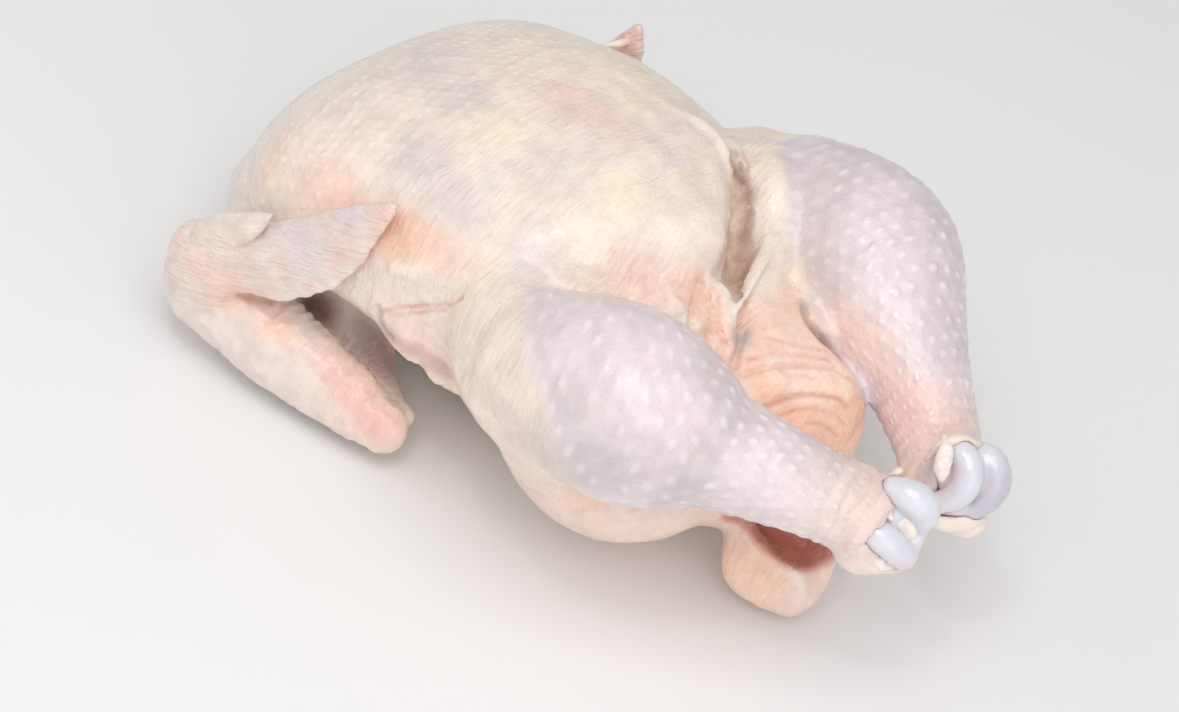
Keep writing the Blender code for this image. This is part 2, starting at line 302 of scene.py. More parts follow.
def plate(outline, origin, along, across, edge=0.8, slope=0.3, deepest=4.0, ripple=0.0):
    """A thin blade with an outline in its own plane, thicker away from the edge.

    The outline's points are (u, v), along and across; ripple scallops the edge at v < 0.
    """
    u_axis, v_axis = np.array(along, float), np.array(across, float)
    length = np.linalg.norm(u_axis)
    u_axis = u_axis / length
    w_axis = np.cross(u_axis, v_axis)
    corners = np.array(outline, float) * (length, 1)
    origin = np.array(origin, float)

    def distance(x, y, z):
        away = (x - origin[0], y - origin[1], z - origin[2])
        u, v, w = (sum(away[i] * axis[i] for i in range(3)) for axis in (u_axis, v_axis, w_axis))
        nearest, inside = np.full(u.shape, 1e9), np.zeros(u.shape, bool)
        for (au, av), (bu, bv) in zip(corners, np.roll(corners, -1, 0)):
            run_u, run_v = bu - au, bv - av
            share = np.clip(((u - au) * run_u + (v - av) * run_v) / (run_u ** 2 + run_v ** 2), 0, 1)
            nearest = np.minimum(nearest, np.hypot(u - au - share * run_u, v - av - share * run_v))
            if run_v:
                inside ^= ((av > v) != (bv > v)) & (u < au + (v - av) * run_u / run_v)
        rim = np.where(inside, -nearest, nearest)
        scallops = np.sin(1.05 * u + 1.3 * np.sin(0.31 * u)) * (0.6 + 0.4 * np.sin(0.23 * u))
        rim = rim + ripple * smoothstep(-2, -6, v) * scallops
        thick = edge + np.clip(-slope * rim, 0, deepest - edge)
        return -smooth_min(-rim, thick - np.abs(w), 1.0)

    middle = origin + u_axis * corners[:, 0].mean()
    reach = np.abs(corners - corners.mean(0)).max() + 8
    return distance, middle - reach, middle + reach


def eased(x, xs, ys):
    """Values between stations on a smooth curve that never overshoots."""
    xs, ys = np.array(xs, float), np.array(ys, float)
    gaps = np.diff(xs)
    rises = np.diff(ys) / gaps
    slopes = np.concatenate([rises[:1], np.zeros(len(xs) - 2), rises[-1:]])
    for i in range(1, len(xs) - 1):
        if rises[i - 1] * rises[i] > 0:
            before, after = gaps[i] * 2 + gaps[i - 1], gaps[i] + 2 * gaps[i - 1]
            slopes[i] = 3 * (gaps[i - 1] + gaps[i]) / (before / rises[i - 1] + after / rises[i])
    x = np.clip(x, xs[0], xs[-1])
    i = np.clip(np.searchsorted(xs, x) - 1, 0, len(gaps) - 1)
    t = (x - xs[i]) / gaps[i]
    return ((2 * t ** 3 - 3 * t * t + 1) * ys[i] + (t ** 3 - 2 * t * t + t) * gaps[i] * slopes[i]
            + (3 * t * t - 2 * t ** 3) * ys[i + 1] + (t ** 3 - t * t) * gaps[i] * slopes[i + 1])


def trunk(sections, square_top, square_low, left_share=1.0):
    """A body through oval sections whose halves differ: upper and lower, and left's width."""
    rows = np.array(sections, float)
    start, end = rows[0, 0], rows[-1, 0]

    def distance(x, y, z):
        along = x.astype(float)
        half, low, middle, high = [
            eased(along.ravel(), rows[:, 0], rows[:, k]).reshape(along.shape) for k in (1, 2, 3, 4)]
        half = np.maximum(half, 0.5) * np.where(y > 0, left_share, 1.0)
        rise = z - middle
        top = rise >= 0
        tall = np.where(top, np.maximum(high - middle, 0.5), np.maximum(middle - low, 0.5))
        power = np.where(top, square_top, square_low)
        shape = (np.abs(y / half) ** power + np.abs(rise / tall) ** power) ** (1 / power)
        gap = np.sqrt(y ** 2 + rise ** 2) * (1 - 1 / np.maximum(shape, 1e-4))
        gap = np.where(shape < 1e-3, -np.minimum(half, tall), gap)
        beyond = np.maximum(start - along, along - end)
        return np.where(beyond > 0, np.sqrt(np.maximum(gap, 0) ** 2 + beyond ** 2), gap)

    return (distance, np.array([start, -rows[:, 1].max(), rows[:, 2].min()]),
            np.array([end, rows[:, 1].max(), rows[:, 4].max()]))


# ---------------------------------------------------------------- the bird's form

class Hand:
    """The plane of a wing's folded hand: its wrist, lengthwise, forward and outward directions."""

    def __init__(self, side):
        wrist, tip, low = (np.array(WINGS[side][k], float) for k in ("wrist", "tip", "blade_low"))
        self.wrist = wrist
        self.length = np.linalg.norm(tip - wrist)
        self.along = (tip - wrist) / self.length
        outward = np.cross(tip - wrist, low - wrist)
        self.outward = outward / np.linalg.norm(outward) * side * np.sign(outward[1])
        self.front = np.cross(self.outward, self.along) * -side

    def place(self, u, v):
        """A point of the plane."""
        return self.wrist + self.along * u + self.front * v

    def coordinates(self, points):
        """Distances of points along, across and out of the plane."""
        away = points - self.wrist
        return away @ self.along, away @ self.front, away @ self.outward


def wing_shapes(side):
    """Solids of a folded wing, each with its blend."""
    hand = Hand(side)
    scale = hand.length / HAND_LENGTH
    bone = [(*hand.place(share * hand.length, v), radius) for share, v, radius in HAND_BONE]
    return {
        "upper_arm": (tube(WINGS[side]["upper_arm"]), 4),
        "forearm": (tube(WINGS[side]["forearm"], (0.2, 0.8 * side, 0.5), 0.7), 2),
        "bone": (tube(bone, hand.outward, 0.55), 3),
        "hand": (plate(HAND_OUTLINE, hand.wrist, hand.along * scale, hand.front, ripple=0.25), 1.5),
        "thumb": (plate(THUMB_OUTLINE, hand.wrist + hand.outward * THUMB_LIFT, hand.along * scale,
                        hand.front, slope=0.35, deepest=4), 1),
    }


# The free corner of the left wing's tip.
FIN_CORNER = tube(((-58, 49.4, 81, 0.6), (-56.5, 51.4, 82, 1.1), (-54.5, 54, 83, 1.5)),
                  (0.39, -0.63, 0.67), 0.7)


def leg_shapes(side):
    """Solids of one leg, each with its blend."""
    leg = LEGS[side]
    centre, radii, yaw = leg["flank"]
    return {
        "flank": (ball(centre, radii, yaw), 12),
        "thigh": (tube(leg["thigh"]), 9),
        "drumstick": (tube(leg["drumstick"]), 4),
        "ankle_rim": (ball(*leg["ankle_rim"]), 4),
    }


TAIL_TURN = (-58, 48)


JOINT_GAP = 0.1


# Where the quills grew: the back edge of each forearm.
FOREARM_EDGES = {side: tube([(-66, 60 * side, 31, 3), (-50, 55.5 * side, 24, 3),
                             (-34, 52.5 * side, 20, 3), (-22, 52 * side, 16, 3)])
                 for side in (RIGHT, LEFT)}


def hock_shapes(side, gap=0.0):
    """Solids of a joint end, grown by a gap all round."""
    hock = HOCKS[side]
    centre, radii = hock["core"]
    shapes = [ball(centre, np.array(radii) + gap)]
    for rows in (*hock["condyles"], hock["bridge"]):
        shapes.append(tube([(x, y, z, radius + gap) for x, y, z, radius in rows]))
    return shapes


def body_shapes():
    """Named solids of the trunk, each with its blend, in the order they are joined."""
    return {
        "back": (trunk(BACK_SECTIONS, 2.2, 1.9), 0.1),
        "rump": (tube(RUMP), 10),
        "belly": (ball((48, 12, 67), (15, 21, 15)), 8),
        "vent_fat": (ball((69, 9, 62), (12, 12, 13)), 8),
        "lump": (ball((73.5, -4.2, 67), (3, 2.6, 2.6)), 2),
        "tail": (ball((75.6, -5, 18.9), (13, 11.5, 7), *TAIL_TURN), 4),
        "tail_chin": (ball((83.5, -4.5, 15), (8.5, 9, 6.5), *TAIL_TURN), 4),
        "tail_fill": (tube(((83, 0, 24, 3), (86.5, -2, 19, 3.4), (86.5, -4, 14, 3))), 4),
        "tail_skin": (tube(((81, 10, 40, 6), (86, 8.5, 27, 4), (88.5, 5, 19, 4),
                            (89.5, 0.5, 14, 4), (88.5, -4, 11.5, 3.5))), 4),
    }


BREAST = trunk(BREAST_SECTIONS, 2.25, 2.0, LEFT_BREAST_SHARE)
KEEL_TIP = ball((18, -4, 94), (13, 12, 10))
BREAST_END = ball((26, -19, 76), (18, 17, 15))
FAR_FOLD = ball((6, 46, 80), (14, 12, 11))
NECK_FILL = ball((-97, -25, 30), (15, 15, 15))
BREAST_FLAP = tube(((33.5, -6.5, 88, 2), (37, -8.2, 85.5, 5.5), (41, -10, 81.5, 6), (46.5, -12, 77.5, 4),
                    (50, -13, 75, 1.5)), (0.39, -0.63, 0.67), 0.6)
GROIN = tube(((4, 31, 104, 0.5), (12, 26, 103, 3.2), (20, 20, 99, 4.8), (28, 13, 93, 4.6),
              (36, 4, 87, 3.2), (43, -4, 82, 1)))
INNER_THIGH = tube(((11, 40, 91, 7), (20, 34, 92, 7), (26, 29.7, 87.5, 7), (31, 23, 84, 6.5),
                    (35.5, 14.5, 82, 6), (40, 5, 80.5, 4)))
TENDON_FOLD = tube(((32.3, 22, 90.7, 0.5), (35.3, 15.3, 89.6, 1.0), (37.3, 10.3, 88.7, 1.1),
                    (40.6, 2.1, 87.5, 1.1), (43.4, -5.9, 86.2, 0.7)))
SECOND_FOLD = tube(((30.9, 20, 90.2, 0.3), (33.9, 13.5, 88.8, 0.8), (36, 8.5, 87.6, 0.9),
                    (39, 0.9, 86.2, 0.7)))
# The deep line between the far thigh and the belly.
THIGH_CREASE = tube(((47, 19.8, 82.6, 0.3), (50, 17.4, 82.1, 1.0), (54, 14.9, 81.9, 1.4),
                     (58.4, 15.4, 78.8, 1.4), (63.2, 18.6, 74.4, 1.2), (69, 20.4, 71.4, 0.3)))
PLEATS = (
    tube(((-10.5, 20.5, 104.3, 0.4), (-5.8, 22.4, 104.7, 0.9), (-1.3, 23.8, 104.4, 1.2),
          (3.5, 24.2, 103.2, 1.2), (7.7, 23.5, 101.6, 1), (11.5, 21.8, 99.6, 0.6))),
    tube(((1.8, 31.7, 98.8, 0.4), (5.4, 31, 99, 0.9), (8.7, 30, 99, 0.9), (12.5, 28, 97.8, 0.5))))
VENT = (tube(((70, -19, 37.5, 1), (73.5, -16.5, 38, 2.2), (77.5, -12.5, 36.5, 4.5),
              (80.5, -6.5, 33, 6.5), (84.5, -0.5, 28.5, 5.5), (87, 4, 27, 3.5))),
        tube(((72.5, -5, 32, 3.5), (76.5, -1.5, 29.5, 5), (82, 3, 26.5, 3.8))))
RECESS = tube(((9.9, 26.2, 98, 3), (17.3, 21.6, 95, 3.6), (23.2, 16.5, 91, 3.6),
               (28.7, 11.4, 87, 3.2), (34.4, 4.5, 84, 2.4)))
TAIL_RIM = tube(((75.5, -6, 31, 0.4), (82, -6, 27, 0.9), (87, -5, 22, 1.1), (89.7, -4.5, 18, 1.1),
                 (89.4, -6, 14.5, 0.9), (87.9, -8, 12.5, 0.6)))
SIDE_LINE = tube(((-28, -60.5, 73, 0.3), (-18, -58, 77, 1.0), (-9, -54, 81, 1.4),
                  (-1.5, -49.5, 85, 1.4), (6, -46, 88, 0.5)))
SIDE_SKIN = tube(((-27, -60, 57, 2.5), (-20.5, -59.5, 54, 3.8), (-15, -56.5, 50.5, 4.2),
                  (-8, -53, 49, 5), (1, -54, 51, 5), (9, -58, 54, 4)))
# Loose skin between a knee and the body's side, on the left; mirrored for the right.
KNEE_SKIN = ((2, 53.5, 79.5, 9), (3.5, 56, 70, 9.5), (8.5, 59, 64, 8), (18, 64, 63, 6))


def mirrored(rows, side):
    """Rows of x, y, ... with y on the given side."""
    return [(x, y * side, *rest) for x, y, *rest in rows]


def bird_field(voxel):
    """The whole skin-covered bird as one distance field."""
    field = Field((-134, -100, -4), (140, 100, 122), voxel)
    for shape, soft in body_shapes().values():
        field.add(shape, soft)
    legs = {side: leg_shapes(side) for side in (RIGHT, LEFT)}
    for name in ("flank", "thigh"):
        for side in (RIGHT, LEFT):
            field.add(*legs[side][name])
    field.add(FAR_FOLD, 8)
    field.add(BREAST, 7)
    field.add(BREAST_END, 9)
    field.add(SIDE_SKIN, 6)
    for side in (RIGHT, LEFT):
        field.add(legs[side]["drumstick"][0], 4)
        field.add(tube(mirrored(KNEE_SKIN, side)), 9)
        field.add(*legs[side]["ankle_rim"])
    field.add(KEEL_TIP, 8)
    field.add(tube(NECK_SKIN_RIM), 9)
    field.add(NECK_FILL, 8)
    field.cut(GROIN, 5)
    field.add(INNER_THIGH, 6)
    field.add(BREAST_FLAP, 2.5)
    field.add(TENDON_FOLD, 2)
    field.add(SECOND_FOLD, 2)
    field.add(SIDE_LINE, 5)
    field.cut(THIGH_CREASE, 2.5)
    for pleat in PLEATS:
        field.add(pleat, 3)
    field.add(TAIL_RIM, 1.5)
    for hollow in VENT:
        field.cut(hollow, 3)
    for side in (RIGHT, LEFT):
        for shape, soft in wing_shapes(side).values():
            field.add(shape, soft)
        if side == LEFT:
            field.add(FIN_CORNER, 2)
        for edge in SKIN_EDGES[side]:
            field.add(tube(edge), 1.5)
        centre, radius = HOCKS[side]["cup"]
        field.cut(ball(centre, (radius,) * 3), 2)
        for shape in hock_shapes(side, JOINT_GAP):
            field.cut(shape, 0.8)
    field.flatten_below(TABLE_LEVEL, 2)
    return field


# ---------------------------------------------------------------- noise and masks

def smoothstep(low, high, value):
    """0 below low, 1 above high, eased between; low may be the greater."""
    share = np.clip((value - low) / (high - low), 0, 1)
    return share * share * (3 - 2 * share)


def noise(points, size, seed=0):
    """Smooth noise from -1 to 1 whose lumps are about size across."""
    place = np.asarray(points, float) / size + seed * 17.31
    corner = np.floor(place).astype(np.int64)
    share = place - corner
    share = share * share * (3 - 2 * share)
    total = 0
    for step in np.ndindex(2, 2, 2):
        key = (corner[:, 0] + step[0]) * 73856093 ^ (corner[:, 1] + step[1]) * 19349663
        key = (key ^ (corner[:, 2] + step[2]) * 83492791) & 0xFFFFFF
        key = (key * 1103515245 + 12345) & 0x7FFFFFFF
        value = (key >> 8) % 4096 / 2047.5 - 1
        weight = np.prod([share[:, i] if step[i] else 1 - share[:, i] for i in range(3)], 0)
        total = total + weight * value
    return total


def layered(points, size, seed=0, layers=3):
    """Noise with finer noise on top."""
    return sum(noise(points, size / 2 ** k, seed + k) / 2 ** k for k in range(layers)) / 1.6


def near(points, centre, reach, edge=0.4):
    """A soft spot: 1 at a centre and 0 beyond reach, its edge roughened."""
    away = np.linalg.norm((points - np.array(centre, float)) / np.array(reach, float), axis=1)
    return smoothstep(1, 1 - edge, away + 0.12 * layered(points, 9, 5))


def distance_to(shape, points):
    """Distances from points to a shape."""
    return shape[0](points[:, 0], points[:, 1], points[:, 2])


# ---------------------------------------------------------------- pieces' meshes

def mesh_piece(name, points, faces):
    """A smooth mesh object from points in the bird's millimetres."""
    mesh = bpy.data.meshes.new(name)
    mesh.vertices.add(len(points))
    place = ((points + FRAME_SHIFT) * MM).astype(np.float32)
    mesh.vertices.foreach_set("co", place.ravel())
    mesh.loops.add(faces.size)
    mesh.loops.foreach_set("vertex_index", faces.astype(np.int32).ravel())
    mesh.polygons.add(len(faces))
    starts = np.arange(len(faces), dtype=np.int32) * faces.shape[1]
    mesh.polygons.foreach_set("loop_start", starts)
    mesh.update(calc_edges=True)
    mesh.shade_smooth()
    piece = bpy.data.objects.new(name, mesh)
    bpy.context.scene.collection.objects.link(piece)
    return piece


def thin(piece, triangles):
    """Thins a piece's mesh to a number of triangles, keeping detail where it bends most."""
    present = sum(face.loop_total - 2 for face in piece.data.polygons)
    if present <= triangles:
        return
    modifier = piece.modifiers.new("thin", "DECIMATE")
    modifier.ratio = triangles / present
    graph = bpy.context.evaluated_depsgraph_get()
    thinned = bpy.data.meshes.new_from_object(piece.evaluated_get(graph))
    piece.modifiers.clear()
    piece.data = thinned
    thinned.shade_smooth()


def places(piece):
    """A piece's points in the bird's millimetres."""
    flat = np.empty(len(piece.data.vertices) * 3, np.float32)
    piece.data.vertices.foreach_get("co", flat)
    return flat.reshape(-1, 3).astype(float) / MM - FRAME_SHIFT


def set_attribute(piece, name, values):
    """Stores a number, vector or colour for each point of a piece."""
    kinds = {1: ("FLOAT", "value"), 3: ("FLOAT_VECTOR", "vector"), 4: ("FLOAT_COLOR", "color")}
    values = np.asarray(values, np.float32)
    kind, key = kinds[1 if values.ndim == 1 else values.shape[1]]
    attribute = piece.data.attributes.new(name, kind, "POINT")
    attribute.data.foreach_set(key, np.ascontiguousarray(values).ravel())


# ---------------------------------------------------------------- body coordinates

TRUNK_AXIS_HEIGHT = 50
COLUMN_TOP, COLUMN_END = np.array((47.0, 5, 70)), np.array((80.0, 2, 20))
# The tight skin over a drumstick's muscle ends at two slanting planes: a point and a direction
# on the right leg, mirrored for the left.
MUSCLE_EDGES = (((20, -67, 95), (0.547, 0.444, 0.710)), ((22.8, -34.6, 92.4), (0.588, -0.6, 0.545)))


def leg_coordinates(points, side):
    """Where points lie on a drumstick: length from the knee, and two directions across it."""
    knee = np.array(LEGS[side]["drumstick"][0][:3], float)
    ankle = np.array(LEGS[side]["drumstick"][-1][:3], float)
    run = (ankle - knee) / np.linalg.norm(ankle - knee)
    outward = np.array((0.3, -0.7, 0.65))
    outward -= outward @ run * run
    outward /= np.linalg.norm(outward)
    across = np.cross(run, outward)
    away = points - knee
    return away @ run, away @ across, away @ outward


class Body:
    """Body coordinates and region weights of skin points."""

    def __init__(self, points):
        self.points = points
        self.legs = {side: leg_coordinates(points, side) for side in (RIGHT, LEFT)}
        self.to_leg = {s: distance_to(tube(LEGS[s]["drumstick"]), points) for s in (RIGHT, LEFT)}
        self.to_wing = {}
        for side in (RIGHT, LEFT):
            shapes = wing_shapes(side)
            self.to_wing[side] = {name: distance_to(shape, points)
                                  for name, (shape, _) in shapes.items()}
        self.to_breast = distance_to(BREAST, points)
        shapes = body_shapes()
        self.to_tail = distance_to(shapes["tail"][0], points)
        column = np.minimum.reduce([distance_to(shapes[name][0], points)
                                    for name in ("rump", "belly", "vent_fat")])
        run = COLUMN_END - COLUMN_TOP
        self.down_column = (points - COLUMN_TOP) @ run / np.linalg.norm(run)
        off_legs = smoothstep(0.5, 4, np.minimum(*self.to_leg.values()))
        off_breast = smoothstep(0.5, 4, self.to_breast)
        self.column = smoothstep(5, 1, column) * off_legs * off_breast
        self.wings = np.maximum(self.wing(RIGHT), self.wing(LEFT))
        self.muscles = {side: self.muscle(side) for side in (RIGHT, LEFT)}

    def muscle(self, side):
        """1 on the tight, greyish skin over a drumstick's muscle."""
        edge = smoothstep(6, 2.5, self.to_leg[side])
        wander = 2.5 * noise(self.points, 13, 3)
        for place, direction in MUSCLE_EDGES:
            place, direction = (np.array((v[0], -side * v[1], v[2])) for v in (place, direction))
            beyond = (self.points - place) @ direction + wander
            edge = edge * smoothstep(-3.5, 4.5, beyond)
        return edge

    def wing(self, side):
        """1 on a wing."""
        nearest = np.minimum.reduce(list(self.to_wing[side].values()))
        return smoothstep(3.5, 1.0, nearest)


FOLLICLE_SPACING = 4.4
LEG_COLUMNS = 32
TRUNK_COLUMNS = 92
POLE_OFFSET = 24


def follicle_lattices(body):
    """Row, column and weight of feather follicles, staggered in rows round legs and trunk."""
    points = body.points
    x, y, z = points.T
    angle = np.arctan2(y, z - TRUNK_AXIS_HEIGHT)
    row = x / 3.9 + 0.6 * noise(points, 13, 21)
    column = angle * TRUNK_COLUMNS / (2 * np.pi) + 0.6 * noise(points, 13, 22)
    shoulder = smoothstep(-25, -50, x) * smoothstep(9, 6, body.to_breast)
    weight = 0.6 * shoulder * (0.75 + 0.5 * layered(points, 15, 28)) + 0.12
    weight = weight * (1 - body.wings) * smoothstep(3, 6, np.minimum(*body.to_leg.values()))
    weight = weight * off_seam(points)
    for side in (RIGHT, LEFT):
        length, across, outward = body.legs[side]
        on_leg = body.to_leg[side] < 6.5
        sink = POLE_OFFSET * smoothstep(34, -12, length)
        around = np.arctan2(across, outward + sink) * LEG_COLUMNS / (2 * np.pi)
        row = np.where(on_leg, length / FOLLICLE_SPACING + 0.4 * noise(points, 12, 7), row)
        column = np.where(on_leg, around + 0.4 * noise(points, 14, 8), column)
        fade = smoothstep(108, 66, length) * (0.75 + 0.4 * layered(points, 25, 23))
        weight = np.where(on_leg, body.muscles[side] * fade, weight)
    return row, column, weight


def follicle_bumps(row, column, radius):
    """1 at the centre of each follicle of a staggered lattice, 0 beyond a radius in cells."""
    line = np.floor(row)
    across = (column + 0.5 * (line % 2)) % 1 - 0.5
    along = row - line - 0.5
    return smoothstep(radius, 0.2 * radius, np.hypot(along, across))


def ridges(phase):
    """Rounded folds with sharp valleys at whole numbers, from 0 to 1."""
    return np.abs(np.sin(np.pi * phase))


def folds(body):
    """Phase, depth and redness of the skin's folds: whole phases are valleys."""
    points = body.points
    x, y, z = points.T
    wobble = layered(points, 16, 31)
    phase = body.down_column / 4.0 + 1.1 * wobble + 0.45 * layered(points, 6, 32)
    depth = 0.12 * body.column * smoothstep(-4, 8, body.down_column)
    depth = depth * smoothstep(62, 50, body.down_column)
    depth = depth * smoothstep(-0.6, 0.3, layered(points, 11, 33))
    red = 0.8 * depth
    for side in (RIGHT, LEFT):
        length = body.legs[side][0]
        ankle = smoothstep(2.5, 0.8, body.to_leg[side]) * smoothstep(64, 86, length)
        phase = np.where(ankle > 0, length / 3.6 + 0.9 * layered(points, 7, 4), phase)
        depth = np.where(ankle > 0, 0.4 * ankle, depth)
        red = np.where(ankle > 0, 0.25 * ankle, red)
    flank = near(points, (-14, -57, 60), (26, 14, 17)) * (1 - body.wings)
    flank = flank * smoothstep(-0.7, 0.2, layered(points, 12, 34))
    phase = np.where(flank > 0, (z + 0.12 * x) / 5 + 1.1 * wobble, phase)
    depth = np.where(flank > 0, 0.35 * flank, depth)
    red = np.where(flank > 0, 0.15 * flank, red)
    return phase, depth, red


# Creases drawn along the skin: the line, its half width, its depth and how dark it is.
ABDOMEN_CREASES = (
    (((51.5, -2.5, 82), (59, 5, 80.5), (63, 13.5, 77.5)), 0.6, 0.3, 0.5),
    (((53.5, -9, 78.7), (56.7, -3.5, 80.4), (61, 3.7, 79.4), (65.7, 11.7, 77)), 0.6, 0.45, 0.9),
    (((55.5, -13, 76.7), (58.5, -7, 78.5), (63, 1.5, 78.4), (68, 10.5, 77), (72.5, 15, 73.5)),
     0.8, 0.8, 1.3),
    (((59, -5, 77.6), (63, -3, 77.6), (68, 3, 77)), 0.6, 0.3, 0.5),
    (((64.8, -12.4, 72.3), (67, -7, 74), (69, -2.5, 74.5), (74, 4.5, 74), (77.7, 7.5, 71.8)),
     0.7, 0.6, 0.9),
    (((63, -12, 73.6), (66, -8, 75), (70.5, -2, 75.8), (72, 3, 75.6)), 0.5, 0.3, 0.5),
    (((68.7, -11, 70.7), (70.3, -6, 72), (73.3, -1.5, 72.2), (77.4, 2.8, 70.9), (80, 5, 67.7)),
     0.5, 0.35, 0.55),
    (((74, -5, 69.6), (76.8, -1.3, 69), (80.7, 2.5, 65.5)), 0.6, 0.4, 0.5),
)
SIDE_CREASES = (
    (((-27, -63.4, 59.5), (-19.6, -60.6, 65.9), (-8.6, -58.5, 74.3), (-4.9, -59.5, 80.5)),
     0.6, 0.7, 0.9),
    (((-23.9, -62.9, 60.3), (-16.3, -60, 66.1), (-9.2, -58.8, 72.1)), 0.5, 0.5, 0.7),
    (((-64.5, -63.5, 32.8), (-69.4, -67.1, 32.6), (-71, -72, 37)), 1.2, 0.8, 0.5),
    (((35.5, -10.4, 89.3), (40.2, -11.8, 86.5), (43.4, -15.3, 81.9)), 0.8, 0.8, 0.6),
    (((39.5, -8, 89.4), (42.5, -11.7, 84.7), (48, -12.5, 80.3)), 0.8, 0.8, 0.6),
    (((71, -19, 36), (74.5, -15.5, 34.5)), 1.0, 0.5, 1.0),
)
SHADED_CREASES = (
    (((11.8, 26, 97.3), (18.8, 24.5, 94), (25.5, 18, 89.5), (33.3, 7.9, 85.1), (41, -3, 84.5)),
     2.2, 0.8, 0.7),
    (((43.5, -4, 84.5), (47.5, -6, 81.3), (52, -12.9, 77.2)), 1.1, 1.6, 0.9),
    (((-28.5, -63, 60), (-24.5, -63.8, 55.8), (-21.3, -63.9, 55)), 1.1, 0.6, 0.6),
    (((32.5, -9.6, 90), (35.8, -14.9, 88.3), (38.7, -18.3, 87), (41.5, -20.5, 84)), 0.9, 1.8, 0.8),
)


def crease_strength(creases, points, use_depth):
    """The creases' depth, or their darkness, at each point."""
    strength = np.zeros(len(points))
    for line, width, depth, dark in creases:
        line = np.array(line, float)
        margin = 4 * width
        inside = ((points > line.min(0) - margin) & (points < line.max(0) + margin)).all(1)
        path = tube(np.column_stack([line, np.zeros(len(line))]))
        away = distance_to(path, points[inside]) / width
        here = (depth if use_depth else dark) * np.exp(-away ** 2)
        strength[inside] = np.maximum(strength[inside], here)
    return strength


# ---------------------------------------------------------------- relief

def relief(body):
    """How far each skin point is pushed outward, in millimetres."""
    points = body.points
    loose = 1 - 0.5 * np.maximum(*body.muscles.values())
    push = loose * (0.7 * layered(points, 26, 1) + 0.3 * layered(points, 8, 2)
                    + 0.12 * layered(points, 3, 6))
    row, column, weight = follicle_lattices(body)
    push += 0.32 * weight * follicle_bumps(row, column, 0.46)
    phase, depth, _ = folds(body)
    push += depth * (ridges(phase) - 0.6)
    for creases in (ABDOMEN_CREASES, SIDE_CREASES, SHADED_CREASES):
        push -= crease_strength(creases, points, True)
    for side in (RIGHT, LEFT):
        forearm = smoothstep(2.5, 0.5, body.to_wing[side]["forearm"])
        push += 0.9 * forearm * (0.4 - np.abs(layered(points, 4.5, 9)))
        edge = forearm * smoothstep(3, 0, distance_to(FOREARM_EDGES[side], points))
        beat = np.sin(points[:, 0] * 2 * np.pi / 3.4 + 2 * noise(points, 9, 17))
        push += 0.35 * edge * (1 + layered(points, 7, 27)) * beat
    ragged = near(points, (-8, -55, 48), (22, 8, 7))
    push += 1.6 * ragged * layered(points, 5, 18)
    recess = smoothstep(3, 1, distance_to(RECESS, points))
    push += 0.8 * recess * layered(points, 3.5, 19)
    end = near(points, (36, -16, 84), (18, 18, 14))
    push += 1.7 * end * (0.35 - np.abs(layered(points, 5.5, 10)))
    wrinkled = near(points, (18, -30, 92), (20, 16, 12))
    push += 0.5 * wrinkled * (0.35 - np.abs(layered(points, 4.5, 30)))
    tail = smoothstep(3.5, 1, body.to_tail)
    push += 0.5 * tail * layered(points, 5, 24)
    column = body.column * smoothstep(-4, 8, body.down_column)
    push += 0.35 * column * layered(points * (1, 1, 2.5), 7, 25)
    for side in (RIGHT, LEFT):
        centre, radius = HOCKS[side]["cup"]
        rim = near(points, centre, (radius + 4,) * 3, 0.3)
        push += 0.9 * rim * layered(points, 3.5, 52)
    return push


# ---------------------------------------------------------------- colours

def srgb(red, green, blue):
    """Linear light of a screen colour given from 0 to 255."""
    value = np.array((red, green, blue)) / 255
    return np.where(value <= 0.04045, value / 12.92, ((value + 0.055) / 1.055) ** 2.4)


CREAM = srgb(243, 227, 214)
IVORY = srgb(246, 231, 209)
PEARL = srgb(229, 216, 211)
MUSCLE = srgb(217, 205, 206)
LAVENDER = srgb(230, 216, 220)
ROSE = srgb(242, 202, 194)
BLUSH = srgb(245, 214, 202)
APRICOT = srgb(245, 205, 184)
ORANGE = srgb(245, 192, 164)
TAN = srgb(247, 212, 189)
HOLLOW = srgb(190, 112, 98)
# Tan of the recess beside the far thigh, darkened as painted shade.
RECESS_TAN_AND_SHADE = srgb(199, 165, 140)
CREASE = srgb(216, 134, 106)
SHADOW = srgb(132, 96, 92)
DUSKY_PINK = srgb(202, 166, 164)
TENDER = srgb(238, 208, 200)
PEACH = srgb(251, 220, 203)
# Painted shade, grey: the lower side of the right drumstick and the recess beside the left joint end.
SHADE_GREY = srgb(196, 188, 190)
RAW_PINK = srgb(238, 186, 178)
# Painted shadow: the dark armpit behind the right forearm.
ARMPIT_SHADOW = srgb(112, 78, 78)
GREY = srgb(176, 164, 170)
# Painted shade: the upper arm, lying deep behind the right forearm.
UPPER_ARM_SHADE = srgb(170, 146, 148)
# Whitish fat and tissue; on the two thigh folds it is partly a painted highlight.
WHITE_FAT_AND_HIGHLIGHT = srgb(250, 238, 226)


def blend_in(colour, other, mask):
    """Paints another colour over a colour where the mask says."""
    mask = mask[:, None]
    return colour * (1 - mask) + other * mask


def patch(points, centre, reach, other, strength, colour):
    """Paints a soft-edged patch."""
    return blend_in(colour, other, strength * near(points, centre, reach, 0.8))


